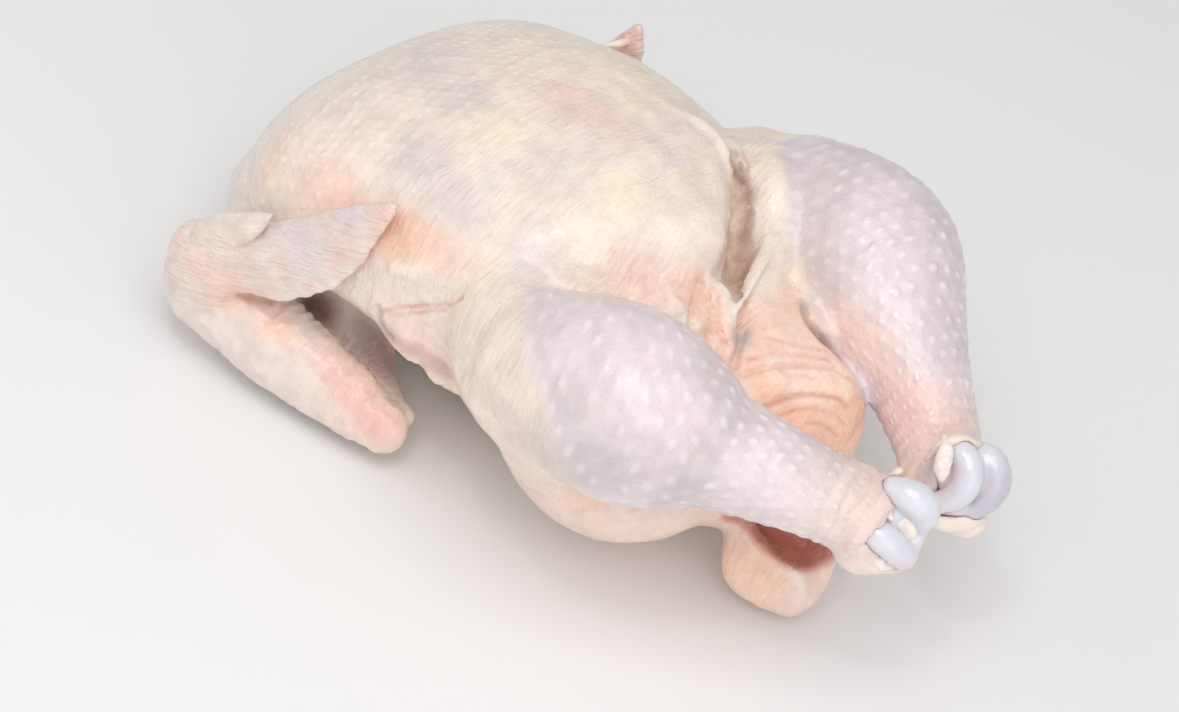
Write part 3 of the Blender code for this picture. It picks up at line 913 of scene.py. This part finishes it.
# Patches of a wing, on the left; mirrored for the right.
WING_PATCHES = (
    ((-22, 60, 20), (14, 9, 9), RAW_PINK, 0.8),
    ((-34, 61, 24), (14, 9, 8), RAW_PINK, 0.7),
    ((-45, 63, 28), (12, 9, 6), RAW_PINK, 0.35),
    ((-60, 68, 32), (16, 12, 8), BLUSH, 0.9),
    ((-56, 68, 30), (8, 8, 5), APRICOT, 0.8),
    ((-72, 72, 36), (12, 12, 10), APRICOT, 0.7),
    ((-80, 72, 50), (14, 10, 8), CREAM, 0.8),
    ((-50, 64, 16), (20, 10, 7), PEARL, 0.8),
    ((-60, 68, 66), (18, 8, 12), LAVENDER, 0.8),
    ((-37, 60, 87), (7, 6, 5), ROSE, 0.7),
    ((-46, 62, 80), (8, 6, 6), LAVENDER, 0.9),
    ((-56, 56, 83), (9, 8, 9), ROSE, 0.9),
)
# Painted shade: grey patches on the right drumstick: centre, reach.
DRUMSTICK_SHADE_PATCHES = (((56, -78, 80), (30, 10, 16)), ((76, -62, 78), (20, 10, 11)),
                 ((66, -73, 86), (18, 8, 6)))
# Orange patches of the belly: centre, reach, strength.
BELLY_PATCHES = (
    ((64, -10, 74), (8, 6, 5), 0.8),
    ((71, -6, 70), (8, 7, 5), 0.7),
    ((56, -10, 78.5), (6, 5, 4), 0.5),
)
# Patches behind the right forearm: painted shade on the upper arm, a painted shadow in the armpit, and
# darker pink on the strip of skin below.
ARMPIT_PATCHES = (
    ((-40, -46, 24), (26, 13, 16), UPPER_ARM_SHADE, 0.95),
    ((-59, -50, 27), (11, 11, 11), ARMPIT_SHADOW, 0.95),
    ((-23, -63, 55), (8, 6, 4.5), DUSKY_PINK, 0.7),
    ((-16, -61, 54), (9, 6, 4.5), DUSKY_PINK, 0.7),
    ((-8, -58, 52), (9, 6, 4.5), DUSKY_PINK, 0.7),
)
# Patches of the breast: centre, reach, colour, strength. The pearl-grey ones at the neck end and on the
# front of the breast's dome are partly the skin's greyer tone and partly painted shade.
BREAST_PATCHES = (
    ((-100, -34, 55), (22, 30, 24), PEARL, 0.5),
    ((-107, -33, 30), (12, 12, 14), PEARL, 0.9),
    ((-88, -46, 66), (16, 14, 18), APRICOT, 0.45),
    ((-70, -12, 94), (20, 22, 12), PEARL, 0.8),
    ((-50, -22, 101), (18, 14, 12), PEARL, 0.9),
    ((-40, -44, 94), (16, 12, 12), MUSCLE, 0.8),
    ((-24, -48, 94), (14, 12, 12), MUSCLE, 0.6),
    ((-58, -54, 76), (26, 12, 13), BLUSH, 0.9),
    ((-53, -58, 75), (18, 10, 9), APRICOT, 0.75),
    ((-66, -57, 68), (13, 9, 10), APRICOT, 0.5),
    ((-34, -57, 80), (15, 10, 11), ORANGE, 0.85),
    ((-24, -55, 83), (18, 9, 9), APRICOT, 0.85),
    ((-12, -53, 84), (14, 9, 8), BLUSH, 0.7),
    ((-25, -5, 108), (17, 12, 10), ROSE, 0.6),
    ((-12, -1, 108), (13, 9, 10), ROSE, 0.45),
    ((-42, 6, 105), (16, 10, 8), IVORY, 0.7),
    ((-12, -28, 105), (16, 13, 10), PEARL, 0.7),
    ((4, 4, 107), (15, 6, 8), PEARL, 0.8),
    ((-30, -26, 104), (14, 10, 10), IVORY, 0.9),
    ((6, -16, 104), (14, 10, 10), IVORY, 0.9),
    ((2, -42, 94), (16, 12, 12), PEARL, 0.5),
    ((16, -4, 102), (14, 12, 10), CREAM, 0.9),
    ((22, -25, 92), (18, 13, 12), BLUSH, 0.9),
    ((24, -26, 90), (12, 9, 9), APRICOT, 0.3),
    ((2, -45, 92), (11, 8, 7), LAVENDER, 0.6),
    ((-83, -53, 64), (14, 9, 12), TAN, 0.6),
    ((33, -13, 88), (14, 10, 10), APRICOT, 0.9),
    ((44, -13, 80), (12, 8, 8), ORANGE, 0.7),
)


def off_seam(points):
    """0 on the line below the bird where the angle about the trunk jumps, 1 away from it."""
    return smoothstep(1.5, 6, np.hypot(points[:, 1], np.maximum(points[:, 2] - TRUNK_AXIS_HEIGHT, 0)))


def trunk_streaks(points):
    """Points stretched so that noise on them makes streaks running round the trunk."""
    x, y, z = points.T
    around = np.arctan2(y, z - TRUNK_AXIS_HEIGHT) * 55
    return np.column_stack([1.6 * x, 0.55 * around, np.hypot(y, z - TRUNK_AXIS_HEIGHT)])


def skin_colour(body):
    """The colour of every skin point."""
    points = body.points
    colour = np.tile(CREAM, (len(points), 1))
    stretched = trunk_streaks(points)
    cloud = 0.5 + 0.5 * layered(stretched, 24, 11, 4)
    clear = off_seam(points)
    colour = blend_in(colour, PEARL, 0.5 * clear * smoothstep(0.4, 0.8, cloud))
    cloud = 0.5 + 0.5 * layered(stretched, 11, 12, 4)
    colour = blend_in(colour, IVORY, 0.6 * clear * smoothstep(0.45, 0.75, cloud))
    # Breast patches; the pearl-grey ones at the neck end and on the front of the dome are partly painted
    # shade.
    for centre, reach, other, strength in BREAST_PATCHES:
        colour = patch(points, centre, reach, other, strength, colour)
    colour = blend_in(colour, PEACH, 0.9 * body.column)
    streak = smoothstep(0.35, 0.7, 0.5 + 0.5 * layered(points * (1, 1, 2.5), 12, 13))
    lower = smoothstep(4, 22, body.down_column)
    colour = blend_in(colour, APRICOT, 0.7 * body.column * streak)
    colour = blend_in(colour, ORANGE, 0.55 * body.column * lower)
    for place, reach, strength in BELLY_PATCHES:
        colour = patch(points, place, reach, ORANGE, strength, colour)
    side = near(points, (-16, -56, 55), (30, 18, 20), 0.7) * (1 - body.wings)
    colour = blend_in(colour, ROSE, 0.4 * side)
    under = smoothstep(56, 44, points[:, 2]) * smoothstep(10, 34, points[:, 0])
    colour = blend_in(colour, BLUSH, 0.8 * under)
    colour = patch(points, (50, -58, 49), (16, 10, 8), APRICOT, 0.8, colour)
    for side in (RIGHT, LEFT):
        length = body.legs[side][0]
        dusk = smoothstep(0.3, 0.75, 0.5 + 0.5 * layered(points, 18, 14))
        tight = MUSCLE[None, :] * (1 - dusk[:, None]) + LAVENDER[None, :] * dusk[:, None]
        mask = (body.muscles[side] * smoothstep(104, 72, length))[:, None]
        colour = colour * (1 - mask) + tight * mask
        ankle = smoothstep(4, 1, body.to_leg[side]) * smoothstep(62, 90, length)
        colour = blend_in(colour, TENDER, 0.6 * ankle)
        wing = body.wing(side)
        colour = blend_in(colour, PEARL, 0.4 * wing)
        flush = smoothstep(0.5, 0.85, 0.5 + 0.5 * layered(points, 11, 15, 4))
        colour = blend_in(colour, ROSE, 0.5 * wing * flush)
        forearm = smoothstep(2.5, 0.5, body.to_wing[side]["forearm"])
        colour = blend_in(colour, PEARL, 0.45 * forearm * smoothstep(-35, -62, points[:, 0]))
        colour = blend_in(colour, BLUSH, 0.3 * forearm * smoothstep(-50, -30, points[:, 0]))
        spots = smoothstep(0.15, 0.45, layered(points, 4, 29)) * smoothstep(14, 24, points[:, 2])
        colour = blend_in(colour, RAW_PINK, 0.35 * wing * spots)
        for place, reach, other, strength in WING_PATCHES:
            place = (place[0], place[1] * side, place[2])
            colour = blend_in(colour, other, strength * wing * near(points, place, reach, 0.8))
    # Painted shade, grey, on the right drumstick.
    for place, reach in DRUMSTICK_SHADE_PATCHES:
        colour = patch(points, place, reach, SHADE_GREY, 0.6, colour)
    # Painted shade, grey, in the recess beside the left joint end.
    colour = patch(points, (105, 10, 68), (5, 5, 8), SHADE_GREY, 0.8, colour)
    colour = patch(points, (94, 20, 74), (14, 14, 12), ROSE, 0.6, colour)
    colour = patch(points, (84, 20, 76), (14, 12, 12), ROSE, 0.7, colour)
    colour = patch(points, (66, 23, 80), (22, 10, 12), BLUSH, 0.8, colour)
    tail = smoothstep(3.5, 1, body.to_tail)
    colour = blend_in(colour, TAN, 0.9 * tail)
    lump = smoothstep(0, 0.5, layered(points, 4, 26))
    colour = blend_in(colour, APRICOT, 0.5 * tail * lump)
    rim = smoothstep(1.2, 0.2, distance_to(TAIL_RIM, points))
    colour = blend_in(colour, WHITE_FAT_AND_HIGHLIGHT, 0.8 * rim)
    vent = smoothstep(3.5, 0.3, np.minimum.reduce([distance_to(hollow, points) for hollow in VENT]))
    colour = blend_in(colour, HOLLOW, 0.85 * vent)
    # The recess is painted a mottled tan, partly its own tissue and partly painted shade.
    recess = smoothstep(2.2, 0.4, distance_to(RECESS, points) + 0.8 * layered(points, 5, 16))
    mottled = 0.55 + 0.45 * smoothstep(-0.3, 0.4, layered(points, 3, 20))
    colour = blend_in(colour, RECESS_TAN_AND_SHADE, recess * mottled)
    behind = smoothstep(0, 3, body.to_wing[RIGHT]["forearm"])
    behind = behind * smoothstep(0, 3, body.to_wing[RIGHT]["hand"])
    # Painted shade on the upper arm and a painted shadow in the armpit, behind the right forearm.
    for place, reach, other, strength in ARMPIT_PATCHES:
        colour = blend_in(colour, other, strength * behind * near(points, place, reach, 0.8))
    # Pale ridges: whitish tissue on the pleats, and on the tendon fold and second fold partly a painted
    # highlight.
    for pleat in (*PLEATS, TENDON_FOLD, SECOND_FOLD):
        colour = blend_in(colour, WHITE_FAT_AND_HIGHLIGHT, 0.4 * smoothstep(0.9, 0.2, distance_to(pleat, points)))
    for creases, tint in ((ABDOMEN_CREASES, CREASE), (SIDE_CREASES, CREASE), (SHADED_CREASES, SHADOW)):
        shade = np.minimum(0.85 * crease_strength(creases, points, False), 1)
        colour = blend_in(colour, tint, shade)
    crease = smoothstep(1.3, 0, distance_to(THIGH_CREASE, points))
    colour = blend_in(colour, SHADOW, 0.85 * crease)
    colour = patch(points, (48, -7, 82), (4.5, 6, 5), GREY, 0.8, colour)
    return colour


# ---------------------------------------------------------------- materials

def new_material(name):
    """A node material and its shader."""
    made = bpy.data.materials.new(name)
    made.use_nodes = True
    return made, made.node_tree, made.node_tree.nodes["Principled BSDF"]


def node(tree, kind, inputs=(), **settings):
    """Adds a node; inputs maps a socket's name or number to a link source or a value."""
    made = tree.nodes.new(kind)
    for name, value in settings.items():
        setattr(made, name, value)
    for socket, value in dict(inputs).items():
        if isinstance(value, bpy.types.NodeSocket):
            tree.links.new(value, made.inputs[socket])
        else:
            made.inputs[socket].default_value = value
    return made


def math(tree, operation, first, second=0.0):
    """A sum on one or two sockets or numbers."""
    return node(tree, "ShaderNodeMath", {0: first, 1: second}, operation=operation).outputs[0]


def ramp(tree, value, low, high, to_low=0.0, to_high=1.0):
    """Eases a value between two limits."""
    made = node(tree, "ShaderNodeMapRange", {
        "Value": value, "From Min": low, "From Max": high, "To Min": to_low, "To Max": to_high},
        interpolation_type="SMOOTHSTEP")
    return made.outputs[0]


def mix(tree, share, first, second):
    """Mixes two colours."""
    made = node(tree, "ShaderNodeMix", data_type="RGBA")
    for socket, value in ((made.inputs[0], share), (made.inputs[6], first), (made.inputs[7], second)):
        if isinstance(value, bpy.types.NodeSocket):
            tree.links.new(value, socket)
        else:
            socket.default_value = value
    return made.outputs[2]


def follicle_dots(tree):
    """Soft dots on the staggered lattice that the follicle attribute holds."""
    place = node(tree, "ShaderNodeAttribute", attribute_name="follicle").outputs["Vector"]
    row, column, weight = node(tree, "ShaderNodeSeparateXYZ", {0: place}).outputs
    line = math(tree, "FLOOR", row)
    stagger = math(tree, "MULTIPLY", math(tree, "FLOORED_MODULO", line, 2.0), 0.5)
    column = math(tree, "ADD", column, stagger)
    cell = node(tree, "ShaderNodeCombineXYZ", {0: line, 1: math(tree, "FLOOR", column)})
    chance = node(tree, "ShaderNodeTexWhiteNoise", {"Vector": cell.outputs[0]}).outputs["Value"]
    across = math(tree, "SUBTRACT", math(tree, "FRACT", column), 0.5)
    along = math(tree, "SUBTRACT", math(tree, "FRACT", row), 0.5)
    square = math(tree, "ADD", math(tree, "POWER", across, 2.0), math(tree, "POWER", along, 2.0))
    dot = ramp(tree, math(tree, "SQRT", square), 0.38, 0.06)
    strength = math(tree, "MULTIPLY", weight, ramp(tree, chance, 0.0, 1.0, 0.15, 1.0))
    return math(tree, "MULTIPLY", dot, strength)


def fold_lines(tree):
    """Thin lines in the valleys of the skin's folds."""
    place = node(tree, "ShaderNodeAttribute", attribute_name="fold").outputs["Vector"]
    phase, _, red = node(tree, "ShaderNodeSeparateXYZ", {0: place}).outputs
    valley = math(tree, "ABSOLUTE", math(tree, "SUBTRACT", math(tree, "FRACT", phase), 0.5))
    return math(tree, "MULTIPLY", ramp(tree, valley, 0.34, 0.5), red)


def skin_material():
    """Moist raw skin: painted colour, pale follicles, fine creases and soft light within."""
    made, tree, shader = new_material("skin")
    link = tree.links.new
    paint = node(tree, "ShaderNodeAttribute", attribute_name="paint").outputs["Color"]
    place = node(tree, "ShaderNodeTexCoord").outputs["Object"]
    mottle = node(tree, "ShaderNodeTexNoise", {"Vector": place, "Scale": 170, "Detail": 6})
    tint = ramp(tree, mottle.outputs[0], 0.3, 0.7, 0.93, 1.05)
    colour = node(tree, "ShaderNodeVectorMath", {0: paint, 1: tint}, operation="MULTIPLY").outputs[0]
    fat = node(tree, "ShaderNodeTexNoise", {"Vector": place, "Scale": 420, "Detail": 3})
    specks = ramp(tree, fat.outputs[0], 0.62, 0.74, 0.0, 0.35)
    loose = node(tree, "ShaderNodeAttribute", attribute_name="trunk_weight").outputs["Fac"]
    specks = math(tree, "MULTIPLY", specks, loose)
    colour = mix(tree, specks, colour, (*srgb(247, 226, 186), 1))
    dots = follicle_dots(tree)
    colour = mix(tree, math(tree, "MULTIPLY", dots, 0.6), colour, (*srgb(247, 243, 241), 1))
    lines = fold_lines(tree)
    colour = mix(tree, math(tree, "MULTIPLY", lines, 0.5), colour, (*srgb(222, 148, 124), 1))
    fine = node(tree, "ShaderNodeTexNoise", {"Vector": place, "Scale": 900, "Detail": 3})
    height = math(tree, "MULTIPLY", fine.outputs[0], 0.4)
    for name in ("trunk", "hand"):
        grain = node(tree, "ShaderNodeAttribute", attribute_name=name + "_grain").outputs["Vector"]
        weight = node(tree, "ShaderNodeAttribute", attribute_name=name + "_weight").outputs["Fac"]
        wrinkle = node(tree, "ShaderNodeTexNoise", {"Vector": grain, "Scale": 1.0, "Detail": 3,
                                                    "Roughness": 0.6}).outputs[0]
        height = math(tree, "ADD", height, math(tree, "MULTIPLY", wrinkle, weight))
        line = math(tree, "MULTIPLY", ramp(tree, wrinkle, 0.5, 0.3, 0.0, 0.22), weight)
        colour = mix(tree, line, colour, (*srgb(226, 186, 166), 1))
    height = math(tree, "ADD", height, math(tree, "MULTIPLY", dots, 0.5))
    link(colour, shader.inputs["Base Color"])
    bump = node(tree, "ShaderNodeBump", {"Height": height, "Distance": 0.0008, "Strength": 0.85})
    link(bump.outputs[0], shader.inputs["Normal"])
    link(ramp(tree, mottle.outputs[0], 0.35, 0.65, 0.3, 0.48), shader.inputs["Roughness"])
    shader.inputs["Subsurface Weight"].default_value = 0.25
    shader.inputs["Subsurface Radius"].default_value = (1.0, 0.45, 0.3)
    shader.inputs["Subsurface Scale"].default_value = 0.003
    shader.inputs["Coat Weight"].default_value = 0.4
    shader.inputs["Coat Roughness"].default_value = 0.16
    return made


def cartilage_material():
    """Bluish-white, wet and slightly see-through cartilage."""
    made, tree, shader = new_material("cartilage")
    paint = node(tree, "ShaderNodeAttribute", attribute_name="paint").outputs["Color"]
    tree.links.new(paint, shader.inputs["Base Color"])
    shader.inputs["Roughness"].default_value = 0.22
    shader.inputs["Subsurface Weight"].default_value = 0.35
    shader.inputs["Subsurface Radius"].default_value = (1.0, 0.7, 0.7)
    shader.inputs["Subsurface Scale"].default_value = 0.003
    shader.inputs["Coat Weight"].default_value = 0.6
    shader.inputs["Coat Roughness"].default_value = 0.08
    return made


def tissue_material():
    """Wet torn tendon and skin."""
    made, tree, shader = new_material("tissue")
    place = node(tree, "ShaderNodeTexCoord").outputs["Object"]
    cloud = node(tree, "ShaderNodeTexNoise", {"Vector": place, "Scale": 260, "Detail": 4})
    colour = mix(tree, ramp(tree, cloud.outputs[0], 0.5, 0.7), (*srgb(240, 228, 222), 1),
                 (*srgb(232, 198, 192), 1))
    tree.links.new(colour, shader.inputs["Base Color"])
    shader.inputs["Roughness"].default_value = 0.35
    shader.inputs["Subsurface Weight"].default_value = 0.25
    shader.inputs["Subsurface Radius"].default_value = (1.0, 0.5, 0.4)
    shader.inputs["Subsurface Scale"].default_value = 0.002
    shader.inputs["Coat Weight"].default_value = 0.5
    shader.inputs["Coat Roughness"].default_value = 0.12
    return made


def floor_material():
    """Plain pale floor."""
    made, tree, shader = new_material("floor")
    shader.inputs["Base Color"].default_value = (0.86, 0.86, 0.86, 1)
    shader.inputs["Roughness"].default_value = 0.7
    return made


# ---------------------------------------------------------------- pieces

def claim(piece, slot, *nodes):
    """Attaches a piece to the root body and hides the CAD nodes it stands for; its slot is not used."""
    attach(piece, "root")
    if nodes:
        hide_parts(*nodes)


def wrinkle_grain(body):
    """Stretched coordinates in which the fine wrinkles are round, for the trunk and the hands."""
    points = body.points
    x, y, z = points.T
    angle = np.arctan2(y, z - TRUNK_AXIS_HEIGHT)
    warp = layered(points, 20, 41)
    trunk_grain = np.column_stack([x / 1.3 + 2 * warp, angle * 60 / 7, np.hypot(y, z - 50) / 9])
    coordinates = [np.column_stack(Hand(side).coordinates(points)) for side in (RIGHT, LEFT)]
    u, v, w = np.where(y[:, None] < 0, *coordinates).T
    hand_grain = np.column_stack([(v + 0.5 * u) / 1.1 + 1.2 * warp, (u - 0.6 * v) / 9, w / 4])
    hands = np.minimum.reduce([body.to_wing[side][name] for side in (RIGHT, LEFT)
                               for name in ("hand", "thumb", "bone")])
    weight = smoothstep(2.5, 0.5, hands)
    loose = 1 - 0.75 * np.maximum(*body.muscles.values())
    loose = loose * (1 - 0.6 * smoothstep(-25, -55, x)) * off_seam(points)
    return trunk_grain, loose * (1 - weight), hand_grain, 1.4 * weight


def make_skin():
    """The skin: the field's surface with its relief, thinned and painted."""
    field = bird_field(SKIN_VOXEL)
    points, quads = field.surface()
    points = points + field.gradient(points) * relief(Body(points))[:, None]
    points[:, 2] = np.maximum(points[:, 2], TABLE_LEVEL)
    piece = mesh_piece("bird_skin", points, quads)
    thin(piece, SKIN_TRIANGLES)
    body = Body(places(piece))
    colour = skin_colour(body)
    set_attribute(piece, "paint", np.column_stack([colour, np.ones(len(colour))]))
    set_attribute(piece, "follicle", np.column_stack(follicle_lattices(body)))
    set_attribute(piece, "fold", np.column_stack(folds(body)))
    names = ("trunk_grain", "trunk_weight", "hand_grain", "hand_weight")
    for name, values in zip(names, wrinkle_grain(body)):
        set_attribute(piece, name, values)
    piece.data.materials.clear()
    piece.data.materials.append(skin_material())
    claim(piece, "skin", "bird")


CARTILAGE = srgb(219, 220, 227)
CARTILAGE_PINK = srgb(226, 204, 210)
# Grey cartilage, partly its own tone and partly painted shade.
CARTILAGE_GREY_AND_SHADE = srgb(186, 180, 192)
# Patches of the joint ends: centre, reach, colour, strength. The grey ones are partly the cartilage's
# tone and partly painted shade where it turns away.
JOINT_PATCHES = {
    RIGHT: (((119.5, -16, 65), (6, 6, 5.5), CARTILAGE_PINK, 1.0),
            ((116, -12, 77), (4, 4, 3.5), CARTILAGE_PINK, 0.5),
            ((118, -10, 72), (5, 5, 6), CARTILAGE_GREY_AND_SHADE, 0.4)),
    LEFT: (((119, 20, 68), (10, 10, 14), CARTILAGE_GREY_AND_SHADE, 1.0),
           ((118.6, 19, 71), (5, 6, 5), CARTILAGE_PINK, 0.7),
           ((113, 11, 65), (6, 5, 6), CARTILAGE_PINK, 0.9)),
}


def make_hock(side, name, material):
    """The bare joint end of a drumstick: two condyles with a saddle between them."""
    centre = np.array(HOCKS[side]["core"][0], float)
    field = Field(centre - 24, centre + 24, JOINT_VOXEL)
    for shape in hock_shapes(side):
        field.add(shape, 1.4)
    points, quads = field.surface()
    points = points + field.gradient(points) * (0.25 * layered(points, 5, 51))[:, None]
    piece = mesh_piece(name, points, quads)
    thin(piece, JOINT_TRIANGLES)
    places_now = places(piece)
    colour = np.tile(CARTILAGE, (len(places_now), 1))
    colour = blend_in(colour, CARTILAGE_PINK, smoothstep(0.1, 0.6, layered(places_now, 7, 54)) * 0.7)
    # Patches of the joint ends; the grey ones are partly painted shade.
    for spot, reach, other, strength in JOINT_PATCHES[side]:
        colour = patch(places_now, spot, reach, other, strength, colour)
    set_attribute(piece, "paint", np.column_stack([colour, np.ones(len(colour))]))
    piece.data.materials.append(material)
    claim(piece, "cartilage", name)


def make_tissue(side, name, material):
    """Torn tendons and shreds of skin about a joint end."""
    centre = np.array(HOCKS[side]["core"][0], float)
    field = Field(centre - 20, centre + 20, JOINT_VOXEL)
    for points in TISSUE[side]:
        field.add(tube(points, TISSUE_FACING, 0.5), 1.0)
    points, quads = field.surface()
    points = points + field.gradient(points) * (0.5 * layered(points, 2.5, 53))[:, None]
    piece = mesh_piece(name, points, quads)
    thin(piece, JOINT_TRIANGLES)
    piece.data.materials.append(material)
    claim(piece, "skin")


# ---------------------------------------------------------------- camera and light

CAMERA_AZIMUTH, CAMERA_ELEVATION, CAMERA_ROLL = 32, 42, 17
CAMERA_DISTANCE = 0.9
LENS = 98.93
CAMERA_AIM = Vector((-0.0039, 0, 0.0474))
AIM_OFFSET = Vector((-0.0040, -0.0138))


def make_camera():
    """The photograph's camera: from above the bird's right rear, turned a little in its own plane."""
    azimuth, elevation, roll = (radians(a) for a in
                                (CAMERA_AZIMUTH, CAMERA_ELEVATION, CAMERA_ROLL))
    back = Vector((sin(azimuth) * cos(elevation), -cos(azimuth) * cos(elevation), sin(elevation)))
    level = Vector((cos(azimuth), sin(azimuth), 0))
    rise = back.cross(level)
    right = level * cos(roll) + rise * sin(roll)
    up = rise * cos(roll) - level * sin(roll)
    place = CAMERA_AIM + back * CAMERA_DISTANCE + right * AIM_OFFSET.x + up * AIM_OFFSET.y
    data = bpy.data.cameras.new("camera")
    data.lens = LENS
    camera = bpy.data.objects.new("camera", data)
    camera.matrix_world = Matrix((
        (right.x, up.x, back.x, place.x), (right.y, up.y, back.y, place.y),
        (right.z, up.z, back.z, place.z), (0, 0, 0, 1)))
    bpy.context.scene.collection.objects.link(camera)
    bpy.context.scene.camera = camera


def area_light(name, place, energy, size):
    """A soft square light aimed at the bird."""
    data = bpy.data.lights.new(name, "AREA")
    data.energy = energy
    data.size = size
    light = bpy.data.objects.new(name, data)
    light.location = place
    light.rotation_euler = (CAMERA_AIM - Vector(place)).to_track_quat("-Z", "Y").to_euler()
    bpy.context.scene.collection.objects.link(light)


def make_stage():
    """A pale floor, a white surround and two soft lights."""
    mesh = bpy.data.meshes.new("floor")
    half = 3.0
    mesh.from_pydata([(-half, -half, 0), (half, -half, 0), (half, half, 0), (-half, half, 0)], [],
                     [(0, 1, 2, 3)])
    floor = bpy.data.objects.new("floor", mesh)
    mesh.materials.append(floor_material())
    bpy.context.scene.collection.objects.link(floor)
    world = bpy.data.worlds.new("studio")
    world.use_nodes = True
    background = world.node_tree.nodes["Background"]
    background.inputs["Color"].default_value = (1, 1, 1, 1)
    background.inputs["Strength"].default_value = 0.54
    bpy.context.scene.world = world
    area_light("sparkle", (0.1, -0.5, 1.0), 0.6, 0.07)
    area_light("key", (0.3, -0.45, 1.0), 5.3, 0.8)
    area_light("left_fill", (-0.8, -0.6, 0.6), 1.5, 0.9)
    area_light("right_fill", (0.9, -0.5, 0.35), 2.0, 0.8)
    bpy.context.scene.view_settings.view_transform = "Standard"


make_skin()
cartilage = cartilage_material()
make_hock(RIGHT, "hock_right", cartilage)
make_hock(LEFT, "hock_left", cartilage)
tissue = tissue_material()
make_tissue(RIGHT, "tissue_right", tissue)
make_tissue(LEFT, "tissue_left", tissue)
make_camera()
make_stage()
